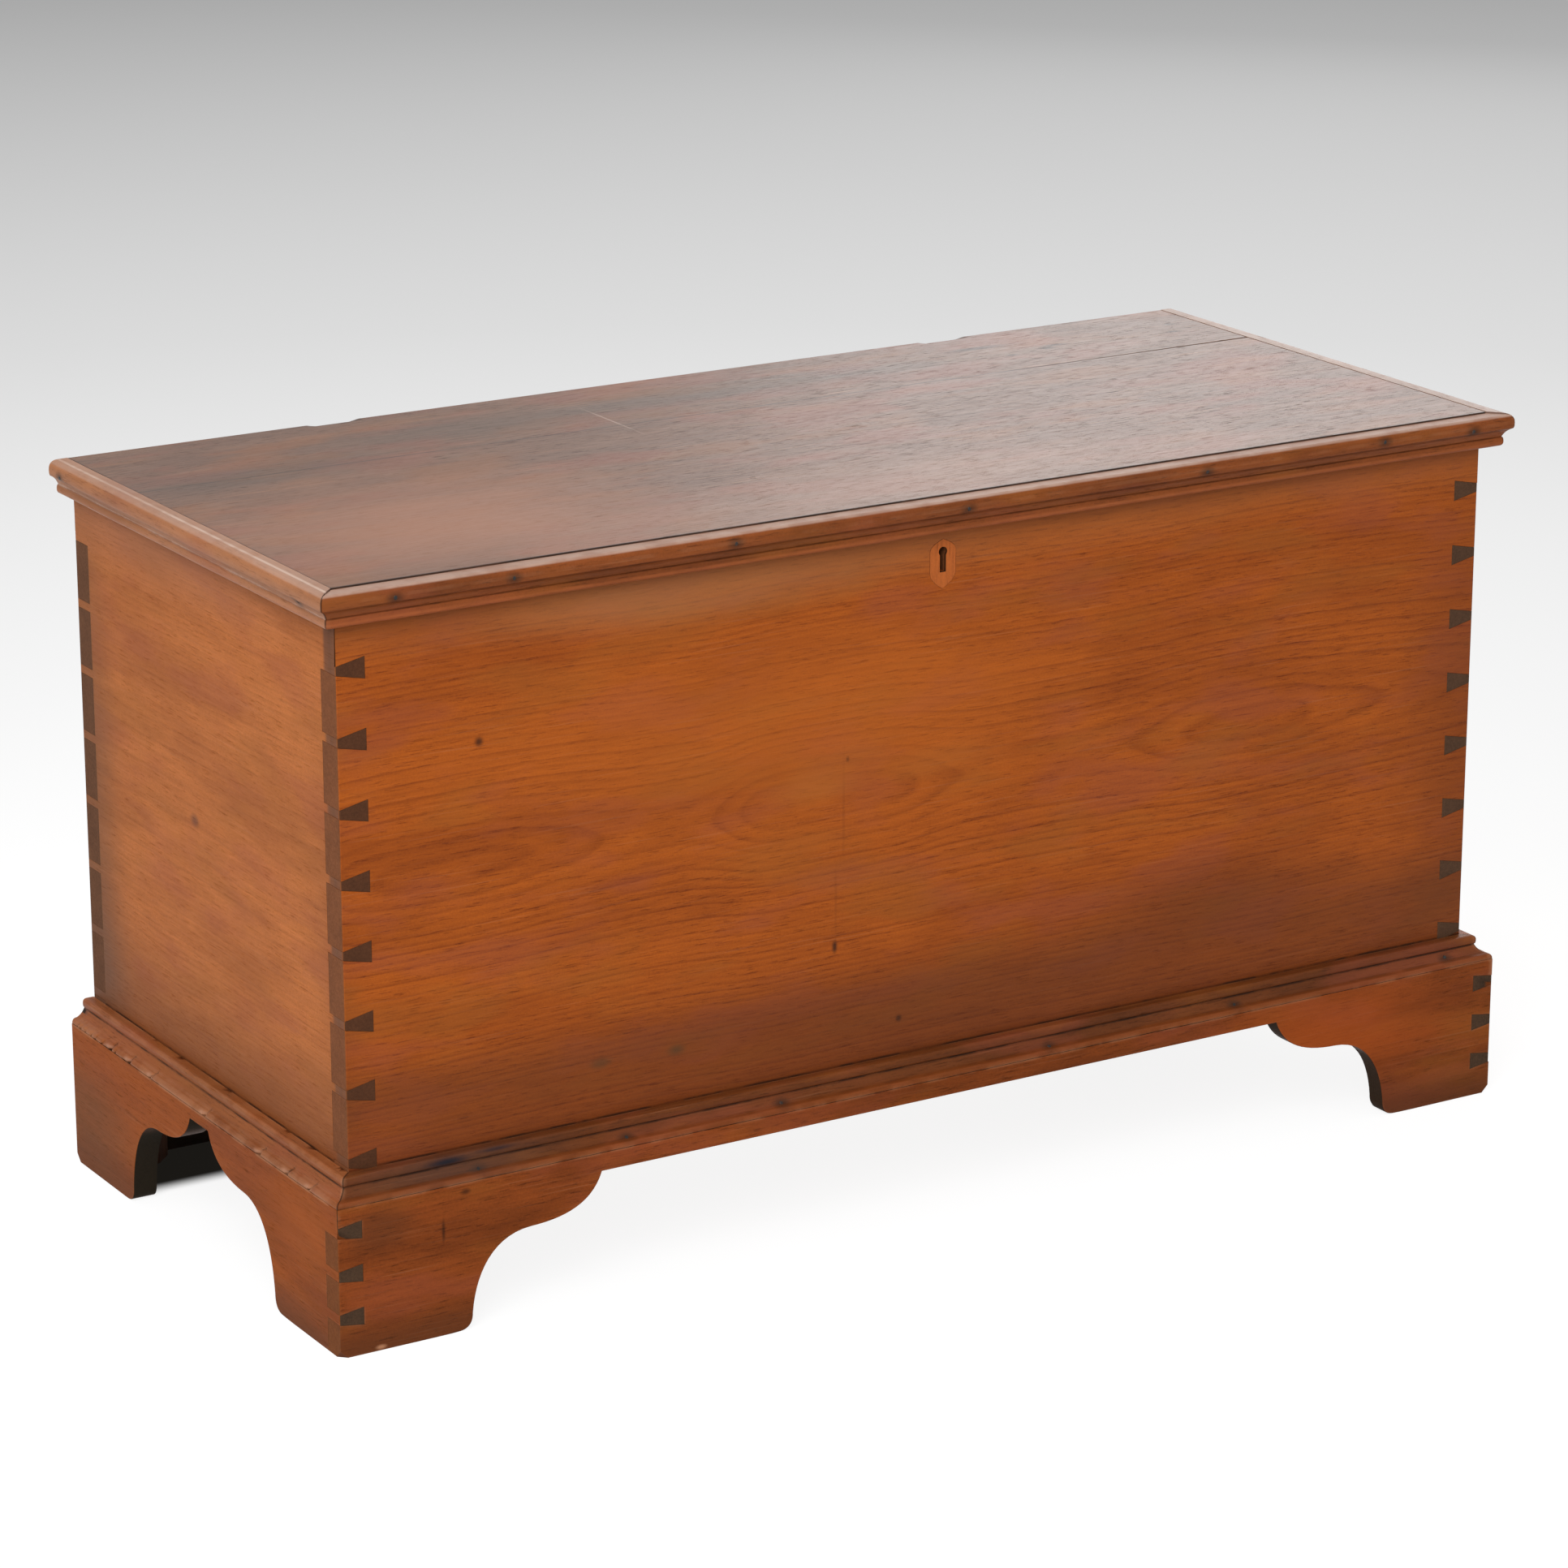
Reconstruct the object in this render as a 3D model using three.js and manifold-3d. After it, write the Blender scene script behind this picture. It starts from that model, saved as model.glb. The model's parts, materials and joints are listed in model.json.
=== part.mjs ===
// Dovetailed blanket chest on a bracket base, with a moulded lid on iron hinges.
// Millimetres, +Z up, X along the front, Y towards the back.
// The origin is on the floor under the middle of the whole chest.

import * as THREE from 'three';
import { mergeVertices } from 'three/addons/utils/BufferGeometryUtils.js';
import Module from 'manifold-3d';

const wasm = await Module();
wasm.setup();

// Case
const CASE_LENGTH = 1193;
const CASE_DEPTH = 520;
const CASE_HEIGHT = 525;
const CASE_BOARD = 27;
const CASE_PIN_COUNT = 8;
const CASE_PIN_WIDE = 19;
const CASE_PIN_NARROW = 7.5;
const CASE_TOP_PIN_DROP = 51;
const CASE_BOTTOM_PIN_RISE = 39.5;

// Bottom boards
const BOTTOM_BOARD = 18;
const BOTTOM_RABBET = 12;

// Till at the left end
const TILL_WIDTH = 150;
const TILL_DEPTH = 125;
const TILL_DROP = 12;
const TILL_BOARD = 12;
const TILL_GROOVE = 6;

// Bracket base
const BASE_BOARD = 23;
const BASE_HEIGHT = 136;
const CASE_SINK = 10;
const BASE_PIN_WIDE = 16;
const BASE_PIN_NARROW = 9;
const BASE_TOP_PIN_DROP = 21.5;
const BASE_PIN_PITCH = 39.5;
const BASE_PIN_COUNT = 3;
const TOE_RADIUS = 15;
const FRONT_RAIL = 17;
const FRONT_FOOT_WIDTH = 128;
const FRONT_KNEE_REACH = 186;
const FRONT_KNEE_HEIGHT = 82.5;
const FRONT_BRACKET_REACH = 257;
const SIDE_RAIL = 11.5;
const SIDE_FOOT_WIDTH = 126;
const SIDE_KNEE_REACH = 182;
const SIDE_KNEE_HEIGHT = 90;
const SIDE_ARCH_CROWN = 37;
const REAR_FOOT_BOARD = 20;
const REAR_FOOT_WIDTH = 150;
const REAR_FOOT_SPLAY = 34;
const FOOT_BLOCK = 46;
const FOOT_BLOCK_CHAMFER = 16;
const FOOT_BLOCK_LIFT = 8;

// Base moulding, standing on the base boards against the case
const BASE_MOULDING_HEIGHT = 22;
const BASE_MOULDING_LIP = 5;
const BASE_MOULDING_BEAD = 11.5;
const BASE_MOULDING_BEAD_HEIGHT = 8.5;
const BASE_MOULDING_QUIRK = 1.4;

// Lid
const LID_BOARD = 21.5;
const LID_OVERHANG = 4;
const LID_BACK_BOARD_WIDTH = 151;
const LID_CRACK = 1.6;
const LID_MOULDING_WIDTH = 19;
const LID_MOULDING_HEIGHT = 32;
const LID_MOULDING_FLAT = 9;
const LID_NOSE_HEIGHT = 14.5;
const LID_NOSE_UNDERCUT = 1.5;
const LID_COVE_HEIGHT = 8.5;
const LID_COVE_DEPTH = 8.5;
const LID_BEAD = 1.5;
const LID_BEAD_UNDERCUT = 5;
const LID_SWEEP_CLEARANCE = 0.3;
const SCOOP_LENGTH = 56;
const SCOOP_DEPTH = 3.5;
const SCOOP_WIDTH = 8;

// Hinges
const HINGE_SPREAD = 670;
const HINGE_SETBACK = 3;
const HINGE_LENGTH = 50;
const HINGE_KNUCKLES = 5;
const BARREL_RADIUS = 4.5;
const PIN_RADIUS = 2.1;
const PIN_CLEARANCE = 0.35;
const LEAF_THICKNESS = 2.2;
const CASE_LEAF_HEIGHT = 64;
const LID_STRAP_LENGTH = 122;
const LID_STRAP_TIP = 18;

// Screws
const SCREW_HEAD_RADIUS = 3.5;
const SCREW_HEAD_DEPTH = 2;
const SCREW_SHANK_RADIUS = 1.7;
const SCREW_LENGTH = 14;

// Lock, bolt and strike
const LOCK_WIDTH = 92;
const LOCK_HEIGHT = 60;
const LOCK_PLATE = 2.5;
const SELVAGE_DEPTH = 17;
const MORTISE_WIDTH = 78;
const MORTISE_HEIGHT = 54;
const MORTISE_DEPTH = 15.5;
const LOCK_CAP = 1.5;
const BOLT_THICKNESS = 4;
const BOLT_HEIGHT = 8.5;
const BOLT_DROP = 18.5;
const BOLT_THROW = 9;
const BOLT_ARM = 5;
const FINGER_LENGTH = 8.5;
const FINGER_HEIGHT = 5;
const FINGER_DROP = 7;
const FINGER_CLEARANCE = 1.2;
const STAPLE_SPREAD = 36;
const STAPLE_THICKNESS = 3.5;
const STAPLE_WIDTH = 9;
const STAPLE_LENGTH = 17;
const STAPLE_EYE_CLEARANCE = 0.6;
const STAPLE_SLOT_CLEARANCE = 0.8;
const STRIKE_LENGTH = 70;
const STRIKE_WIDTH = 16;
const STUD_RADIUS = 2;
const DRILL_PIN_RADIUS = 1.8;

// Keyhole and its inlaid escutcheon
const KEYHOLE_TOP_DROP = 26.5;
const KEYHOLE_HEIGHT = 23;
const KEYHOLE_RADIUS = 4.4;
const KEYHOLE_SLOT = 6.4;
const ESCUTCHEON_WIDTH = 27;
const ESCUTCHEON_HEIGHT = 45;
const ESCUTCHEON_TOP_DROP = 19.5;
const ESCUTCHEON_THICKNESS = 3;

// Clearances
const JOINT_GAP = 0.3;
const OVERRUN = 2;

// How finely round things are faceted
const SMALL_SIDES = 16;
const ROUND_SIDES = 24;
const SCREW_SIDES = 12;
const SCOOP_SIDES = 96;
const FOOT_CURVE_STEPS = 14;
const MOULDING_STEPS = 6;

// Shapes of curved outlines, as shares of the sizes that carry them
const FOOT_CURVE_SHARES = { ankle: [0.06, 0.52], knee: [0.35, 0.98] };
const WING_CURVE_SHARES = { knee: [0.5, 0.02], step: [0.86, 0.26] };
const COVE_BEND_SHARES = [0.3, 0.3];
const LID_NOSE_WIDEST_SHARE = 0.6;
const HINGE_SCREW_ROW_SHARES = [0.3, 0.58, 0.86];
const HINGE_SCREW_SWAY_SHARES = [0.28, -0.28, 0.28];
const STRAP_SCREW_ROW_SHARES = [0.3, 0.6, 0.9];
const LOCK_SCREW_ROW_SHARES = [0.25, 0.85];
const ESCUTCHEON_SHARES = { shoulder: 0.24, hip: 0.66 };

// Working sizes that follow from the ones above
const caseHalf = CASE_LENGTH / 2;
const baseInset = BASE_BOARD + JOINT_GAP;
const baseHalf = caseHalf + baseInset;
const hingeOverhang = HINGE_SETBACK + BARREL_RADIUS;
const totalDepth = baseInset + CASE_DEPTH + hingeOverhang;
const baseFront = -totalDepth / 2;
const caseFront = baseFront + baseInset;
const caseBack = caseFront + CASE_DEPTH;
const caseInnerFront = caseFront + CASE_BOARD;
const caseInnerBack = caseBack - CASE_BOARD;
const caseInnerHalf = caseHalf - CASE_BOARD;
const caseBottom = BASE_HEIGHT - CASE_SINK;
const caseTop = caseBottom + CASE_HEIGHT;
const lidUnderside = caseTop + LID_SWEEP_CLEARANCE;
const lidTop = lidUnderside + LID_BOARD;
const lidHalf = caseHalf + LID_OVERHANG;
const lidFront = caseFront - LID_OVERHANG;
const hingeAxisY = caseBack + HINGE_SETBACK;
const stapleY = caseInnerFront - LOCK_PLATE - STAPLE_SLOT_CLEARANCE - STAPLE_WIDTH / 2 - JOINT_GAP;
const stapleTop = caseTop - FINGER_DROP;

// Materials

function finish(color, roughness, metalness) {
  return () => new THREE.MeshStandardMaterial({ color, roughness, metalness });
}

const frontWood = finish(0xa4582a, 0.5, 0);
const endWood = finish(0xb06c3f, 0.55, 0);
const baseWood = finish(0x8f4a26, 0.55, 0);
const lidWood = finish(0x9c8070, 0.4, 0);
const innerWood = finish(0xa98560, 0.75, 0);
const inlayWood = finish(0xb8692f, 0.5, 0);
const iron = finish(0x3b3836, 0.6, 0.9);

// Solids and their joining

const Y_AXIS = new THREE.Vector3(0, 1, 0);
const X_AXIS = new THREE.Vector3(1, 0, 0);
const Z_AXIS = new THREE.Vector3(0, 0, 1);
const Y_FORWARDS = Y_AXIS.clone().negate();

function solid(geometry) {
  const bare = geometry.clone();
  bare.deleteAttribute('normal');
  bare.deleteAttribute('uv');
  const merged = mergeVertices(bare);
  const vertProperties = new Float32Array(merged.attributes.position.array);
  const triVerts = new Uint32Array(merged.index.array);
  return new wasm.Manifold(new wasm.Mesh({ numProp: 3, vertProperties, triVerts }));
}

function geometryOf(manifold) {
  const mesh = manifold.getMesh();
  const geometry = new THREE.BufferGeometry();
  geometry.setAttribute('position', new THREE.BufferAttribute(mesh.vertProperties, 3));
  geometry.setIndex(new THREE.BufferAttribute(mesh.triVerts, 1));
  const flat = geometry.toNonIndexed();
  flat.computeVertexNormals();
  return flat;
}

function cut(geometry, cutters) {
  const result = cutters.reduce((body, cutter) => body.subtract(solid(cutter)), solid(geometry));
  return geometryOf(result);
}

function join(geometries) {
  const [first, ...rest] = geometries.map(solid);
  return geometryOf(rest.reduce((body, other) => body.add(other), first));
}

function shapeOf(points) {
  return new THREE.Shape(points.map(([a, b]) => new THREE.Vector2(a, b)));
}

function extrude(shape, depth, curveSegments) {
  return new THREE.ExtrudeGeometry(shape, { depth, bevelEnabled: false, curveSegments });
}

// The outline lies in X and Z, and the solid runs from front to back.
function alongY(shape, front, back, curveSegments = 10) {
  const geometry = extrude(shape, back - front, curveSegments);
  geometry.applyMatrix4(new THREE.Matrix4().makeBasis(X_AXIS, Z_AXIS, Y_FORWARDS));
  return geometry.translate(0, back, 0);
}

// The outline lies in Y and Z, and the solid runs from left to right.
function alongX(shape, left, right, curveSegments = 10) {
  const geometry = extrude(shape, right - left, curveSegments);
  geometry.applyMatrix4(new THREE.Matrix4().makeBasis(Y_AXIS, Z_AXIS, X_AXIS));
  return geometry.translate(left, 0, 0);
}

// The outline lies in X and Y, and the solid runs upwards.
function alongZ(shape, bottom, top, curveSegments = 10) {
  return extrude(shape, top - bottom, curveSegments).translate(0, 0, bottom);
}

function block(left, right, front, back, bottom, top) {
  const geometry = new THREE.BoxGeometry(right - left, back - front, top - bottom);
  return geometry.translate((left + right) / 2, (front + back) / 2, (bottom + top) / 2);
}

function rodAlongX(radius, left, right, y, z, sides = ROUND_SIDES) {
  const geometry = new THREE.CylinderGeometry(radius, radius, right - left, sides);
  return geometry.rotateZ(Math.PI / 2).translate((left + right) / 2, y, z);
}

function rodAlongY(radius, front, back, x, z, sides = ROUND_SIDES) {
  const geometry = new THREE.CylinderGeometry(radius, radius, back - front, sides);
  return geometry.translate(x, (front + back) / 2, z);
}

function piece(name, geometry, material) {
  const mesh = new THREE.Mesh(geometry, material());
  mesh.name = name;
  return mesh;
}

function sideName(side) {
  return side < 0 ? 'left' : 'right';
}

// Dovetailed corners. The pins belong to the end piece and taper towards the corner; above the
// top pin the two boards meet in a mitre.

function pinHeights(top, drop, pitch, count) {
  return Array.from({ length: count }, (_, i) => top - drop - i * pitch);
}

const casePins = pinHeights(
  caseTop,
  CASE_TOP_PIN_DROP,
  (CASE_HEIGHT - CASE_TOP_PIN_DROP - CASE_BOTTOM_PIN_RISE) / (CASE_PIN_COUNT - 1),
  CASE_PIN_COUNT,
);
const basePins = pinHeights(BASE_HEIGHT, BASE_TOP_PIN_DROP, BASE_PIN_PITCH, BASE_PIN_COUNT);

const caseJoint = {
  half: caseHalf,
  tailBoard: CASE_BOARD,
  pinBoard: CASE_BOARD,
  pins: casePins,
  wide: CASE_PIN_WIDE,
  narrow: CASE_PIN_NARROW,
  bottom: caseBottom,
  top: caseTop,
};
const baseJoint = {
  half: baseHalf,
  tailBoard: BASE_BOARD,
  pinBoard: BASE_BOARD,
  pins: basePins,
  wide: BASE_PIN_WIDE,
  narrow: BASE_PIN_NARROW,
  bottom: 0,
  top: BASE_HEIGHT,
};

// One corner: which end of the chest it is at, the outer face of the tail board there, and the
// direction in which the board's thickness goes.
function corner(joint, side, face, inward) {
  return { ...joint, side, face, inward };
}

function slab(shape, at, from, to) {
  const ends = [at.face + at.inward * from, at.face + at.inward * to];
  return alongY(shape, Math.min(...ends), Math.max(...ends));
}

// The pins, grown by the gap where they cut the sockets between the tails.
function pinPrisms(at, gap, outside, through) {
  const slope = (at.wide - at.narrow) / 2 / at.pinBoard;
  const halfAt = (u) => at.narrow / 2 + slope * u + gap;
  const x = (u) => at.side * (at.half - u);
  const start = -outside;
  const end = at.pinBoard + gap;
  return at.pins.map((z) => slab(shapeOf([
    [x(start), z - halfAt(start)],
    [x(end), z - halfAt(end)],
    [x(end), z + halfAt(end)],
    [x(start), z + halfAt(start)],
  ]), at, -outside, through));
}

// The end piece's half of the mitre above the top pin.
function mitreWedge(at, gap, outside, through) {
  const shift = gap * Math.SQRT2;
  const x = (u) => at.side * (at.half - u);
  const y = (v) => at.face + at.inward * v;
  const shape = shapeOf([
    [x(-outside), y(-outside)],
    [x(shift), y(-outside)],
    [x(shift), y(0)],
    [x(at.pinBoard + shift), y(at.tailBoard)],
    [x(at.pinBoard + shift), y(through)],
    [x(-outside), y(through)],
  ]);
  return alongZ(shape, at.pins[0], at.top + OVERRUN);
}

// What is cut out of a tail board at one corner: sockets for the pins, and the mitre.
function socketCutters(at) {
  const through = at.tailBoard + OVERRUN;
  return [...pinPrisms(at, JOINT_GAP, OVERRUN, through), mitreWedge(at, JOINT_GAP, OVERRUN, through)];
}

// What is cut out of a pin board at one corner: the space of the tails.
function tailCutter(at) {
  const reach = at.tailBoard + JOINT_GAP;
  const x = [at.side * (at.half + OVERRUN), at.side * (at.half - at.pinBoard - OVERRUN)];
  const y = [at.face - at.inward * OVERRUN, at.face + at.inward * reach];
  const space = block(
    Math.min(...x), Math.max(...x), Math.min(...y), Math.max(...y), at.bottom - OVERRUN, at.top + OVERRUN,
  );
  const through = reach + OVERRUN;
  return cut(space, [...pinPrisms(at, 0, 0, through), mitreWedge(at, 0, 0, through)]);
}

// Case

function bottomHousing() {
  const reach = BOTTOM_RABBET + JOINT_GAP;
  return block(
    -caseInnerHalf - reach, caseInnerHalf + reach,
    caseInnerFront - reach, caseInnerBack + reach,
    caseBottom - OVERRUN, caseBottom + BOTTOM_BOARD + JOINT_GAP,
  );
}

const tillSideLeft = -caseInnerHalf + TILL_WIDTH;
const tillTop = caseTop - TILL_DROP;
const tillBottomTop = tillTop - TILL_DEPTH;
const tillBottomUnder = tillBottomTop - TILL_BOARD;

const tillSideUnder = tillBottomUnder - TILL_GROOVE;

function tillBottomBlank(gap) {
  const reach = TILL_GROOVE - JOINT_GAP + gap;
  return block(
    -caseInnerHalf - reach, tillSideLeft + reach,
    caseInnerFront - reach, caseInnerBack + reach,
    tillBottomUnder - gap, tillBottomTop + gap,
  );
}

function tillGrooves() {
  const sideGroove = block(
    tillSideLeft - JOINT_GAP, tillSideLeft + TILL_BOARD + JOINT_GAP,
    caseInnerFront - TILL_GROOVE, caseInnerBack + TILL_GROOVE,
    tillSideUnder - JOINT_GAP, caseTop + OVERRUN,
  );
  return [sideGroove, tillBottomBlank(JOINT_GAP)];
}

function frontBoard() {
  const blank = block(-caseHalf, caseHalf, caseFront, caseInnerFront, caseBottom, caseTop);
  return cut(blank, [
    ...socketCutters(corner(caseJoint, -1, caseFront, 1)),
    ...socketCutters(corner(caseJoint, 1, caseFront, 1)),
    bottomHousing(),
    ...tillGrooves(),
    ...lockHousing(),
    escutcheonRecess(),
    keyholeCutter(caseFront - OVERRUN, caseInnerFront + OVERRUN, 0),
  ]);
}

function backBoard() {
  const blank = block(-caseHalf, caseHalf, caseInnerBack, caseBack, caseBottom, caseTop);
  return cut(blank, [
    ...socketCutters(corner(caseJoint, -1, caseBack, -1)),
    ...socketCutters(corner(caseJoint, 1, caseBack, -1)),
    bottomHousing(),
    ...tillGrooves(),
    ...hingeSides.flatMap((side) => [barrelNotch(side), ...caseLeafScrews(side).map(screwHole)]),
  ]);
}

function endBoard(side) {
  const outer = side * caseHalf;
  const inner = side * caseInnerHalf;
  const blank = block(
    Math.min(outer, inner), Math.max(outer, inner), caseFront, caseBack, caseBottom, caseTop,
  );
  const cutters = [
    tailCutter(corner(caseJoint, side, caseFront, 1)),
    tailCutter(corner(caseJoint, side, caseBack, -1)),
    bottomHousing(),
  ];
  if (side < 0) cutters.push(tillBottomBlank(JOINT_GAP));
  return cut(blank, cutters);
}

function bottomBoard(front, back) {
  const half = caseInnerHalf + BOTTOM_RABBET;
  return block(-half, half, front, back, caseBottom, caseBottom + BOTTOM_BOARD);
}

function tillSide() {
  const reach = TILL_GROOVE - JOINT_GAP;
  const blank = block(
    tillSideLeft, tillSideLeft + TILL_BOARD,
    caseInnerFront - reach, caseInnerBack + reach,
    tillSideUnder, tillTop,
  );
  return cut(blank, [tillBottomBlank(JOINT_GAP)]);
}

function buildCase() {
  const group = new THREE.Group();
  const middle = (caseInnerFront + caseInnerBack) / 2;
  const bottomFront = caseInnerFront - BOTTOM_RABBET;
  const bottomBack = caseInnerBack + BOTTOM_RABBET;
  group.add(
    piece('front_board', frontBoard(), frontWood),
    piece('back_board', backBoard(), endWood),
    piece('left_end_board', endBoard(-1), endWood),
    piece('right_end_board', endBoard(1), endWood),
    piece('bottom_front_board', bottomBoard(bottomFront, middle - JOINT_GAP / 2), innerWood),
    piece('bottom_back_board', bottomBoard(middle + JOINT_GAP / 2, bottomBack), innerWood),
    piece('till_side', tillSide(), innerWood),
    piece('till_bottom', tillBottomBlank(0), innerWood),
    piece('escutcheon', escutcheon(), inlayWood),
  );
  return group;
}

// Bracket base

// The point at the given shares of the way from one point to another.
function between([x, z], [farX, farZ], [shareX, shareZ]) {
  return [x + (farX - x) * shareX, z + (farZ - z) * shareZ];
}

// The feet's scrolls: each rises from its foot over a knee to a sharp step under the rail.
const frontScroll = {
  foot: FRONT_FOOT_WIDTH,
  knee: [FRONT_KNEE_REACH, FRONT_KNEE_HEIGHT],
  step: [FRONT_BRACKET_REACH, BASE_HEIGHT - FRONT_RAIL],
};
const sideScroll = {
  foot: SIDE_FOOT_WIDTH,
  knee: [SIDE_KNEE_REACH, SIDE_KNEE_HEIGHT],
  step: [(caseBack - baseFront - SIDE_ARCH_CROWN) / 2, BASE_HEIGHT - SIDE_RAIL],
};

// One foot's outline from the floor under its toe up to the rail, measured from the corner.
function footCurve(scroll, place) {
  const ankle = place(scroll.foot, TOE_RADIUS);
  const knee = place(...scroll.knee);
  const step = place(...scroll.step);
  const path = new THREE.Path();
  path.moveTo(...place(scroll.foot - TOE_RADIUS, 0));
  path.quadraticCurveTo(...place(scroll.foot, 0), ...ankle);
  path.bezierCurveTo(
    ...between(ankle, knee, FOOT_CURVE_SHARES.ankle),
    ...between(ankle, knee, FOOT_CURVE_SHARES.knee),
    ...knee,
  );
  path.bezierCurveTo(
    ...between(knee, step, WING_CURVE_SHARES.knee),
    ...between(knee, step, WING_CURVE_SHARES.step),
    ...step,
  );
  return path.getPoints(FOOT_CURVE_STEPS);
}

function bracketShape(scroll, low, high) {
  const left = footCurve(scroll, (reach, z) => [low + reach, z]);
  const right = footCurve(scroll, (reach, z) => [high - reach, z]).reverse();
  return new THREE.Shape([
    new THREE.Vector2(low, 0),
    ...left,
    ...right,
    new THREE.Vector2(high, 0),
    new THREE.Vector2(high, BASE_HEIGHT),
    new THREE.Vector2(low, BASE_HEIGHT),
  ]);
}

function baseFrontBoard() {
  const shape = bracketShape(frontScroll, -baseHalf, baseHalf);
  const blank = alongY(shape, baseFront, baseFront + BASE_BOARD);
  return cut(blank, [
    ...socketCutters(corner(baseJoint, -1, baseFront, 1)),
    ...socketCutters(corner(baseJoint, 1, baseFront, 1)),
  ]);
}

function baseSideBoard(side) {
  const outer = side * baseHalf;
  const inner = side * (baseHalf - BASE_BOARD);
  const shape = bracketShape(sideScroll, baseFront, caseBack);
  const blank = alongX(shape, Math.min(outer, inner), Math.max(outer, inner));
  return cut(blank, [tailCutter(corner(baseJoint, side, baseFront, 1))]);
}

const baseInner = baseHalf - BASE_BOARD - JOINT_GAP;
const rearFootTop = caseBottom - JOINT_GAP;

// A plain board behind each rear foot, parallel to the back.
function rearFoot(side) {
  const shape = shapeOf([
    [side * baseInner, 0],
    [side * (baseInner - REAR_FOOT_WIDTH + REAR_FOOT_SPLAY), 0],
    [side * (baseInner - REAR_FOOT_WIDTH), rearFootTop],
    [side * baseInner, rearFootTop],
  ]);
  return alongY(shape, caseBack - REAR_FOOT_BOARD, caseBack);
}

function footBlock(side, corner, inward) {
  const x = (u) => side * (baseInner - u);
  const y = (v) => corner + inward * v;
  const shape = shapeOf([
    [x(0), y(0)],
    [x(FOOT_BLOCK), y(0)],
    [x(FOOT_BLOCK), y(FOOT_BLOCK - FOOT_BLOCK_CHAMFER)],
    [x(FOOT_BLOCK - FOOT_BLOCK_CHAMFER), y(FOOT_BLOCK)],
    [x(0), y(FOOT_BLOCK)],
  ]);
  return alongZ(shape, FOOT_BLOCK_LIFT, rearFootTop);
}

// The base moulding's section, a rounded lip, a cove and a bead: how far it stands out from the
// case, and its height.
function baseMouldingSection() {
  const foot = BASE_HEIGHT + JOINT_GAP;
  const top = foot + BASE_MOULDING_HEIGHT;
  const lipTop = foot + BASE_MOULDING_LIP;
  const coveTop = top - BASE_MOULDING_BEAD_HEIGHT;
  const bead = BASE_MOULDING_BEAD;
  const neck = bead - BASE_MOULDING_QUIRK;
  const lip = BASE_BOARD - BASE_MOULDING_LIP;
  const round = BASE_MOULDING_BEAD_HEIGHT / 2;
  const shape = new THREE.Shape();
  shape.moveTo(JOINT_GAP, foot);
  shape.lineTo(BASE_BOARD, foot);
  shape.quadraticCurveTo(BASE_BOARD, lipTop, lip, lipTop);
  shape.quadraticCurveTo(...between([neck, lipTop], [lip, coveTop], COVE_BEND_SHARES), neck, coveTop);
  shape.quadraticCurveTo(bead, coveTop, bead, coveTop + round);
  shape.quadraticCurveTo(bead, top, bead - round, top);
  shape.lineTo(JOINT_GAP, top);
  return shape;
}

// The lid moulding's section: a flat, a thumbnail nose, a shallow cove, and a bead.
function lidMouldingSection() {
  const inner = LID_OVERHANG + JOINT_GAP;
  const outer = LID_OVERHANG + LID_MOULDING_WIDTH;
  const neck = outer - LID_COVE_DEPTH;
  const bead = neck + LID_BEAD;
  const low = lidTop - LID_MOULDING_HEIGHT;
  const noseMiddle = lidTop - LID_NOSE_HEIGHT * LID_NOSE_WIDEST_SHARE;
  const noseFoot = lidTop - LID_NOSE_HEIGHT;
  const coveFoot = noseFoot - LID_COVE_HEIGHT;
  const under = outer - LID_NOSE_UNDERCUT;
  const shape = new THREE.Shape();
  shape.moveTo(inner, lidTop);
  shape.lineTo(inner + LID_MOULDING_FLAT, lidTop);
  shape.quadraticCurveTo(outer, lidTop, outer, noseMiddle);
  shape.quadraticCurveTo(outer, noseFoot, under, noseFoot);
  shape.quadraticCurveTo(...between([neck, noseFoot], [under, coveFoot], COVE_BEND_SHARES), neck, coveFoot);
  shape.quadraticCurveTo(bead, coveFoot, bead, (coveFoot + low) / 2);
  shape.quadraticCurveTo(bead, low, bead - LID_BEAD_UNDERCUT, low);
  shape.lineTo(inner, low);
  return shape;
}

// A moulding along the front, mitred at both ends: every line of it is longer by what it stands out.
function frontMoulding(section) {
  const half = caseHalf;
  const geometry = extrude(section, 1, MOULDING_STEPS);
  const position = geometry.attributes.position;
  for (let i = 0; i < position.count; i += 1) {
    const out = position.getX(i);
    const end = half + out - JOINT_GAP;
    const along = 1 - position.getZ(i) * 2;
    position.setXYZ(i, along * end, caseFront - out, position.getY(i));
  }
  geometry.computeVertexNormals();
  return geometry;
}

// A moulding along one end: mitred in front, square behind.
function endMoulding(section, side) {
  const geometry = extrude(section, 1, MOULDING_STEPS);
  const position = geometry.attributes.position;
  for (let i = 0; i < position.count; i += 1) {
    const out = position.getX(i);
    const front = caseFront - out + JOINT_GAP;
    const share = side > 0 ? 1 - position.getZ(i) : position.getZ(i);
    position.setXYZ(i, side * (caseHalf + out), front + (caseBack - front) * share, position.getY(i));
  }
  geometry.computeVertexNormals();
  return geometry;
}

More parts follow.
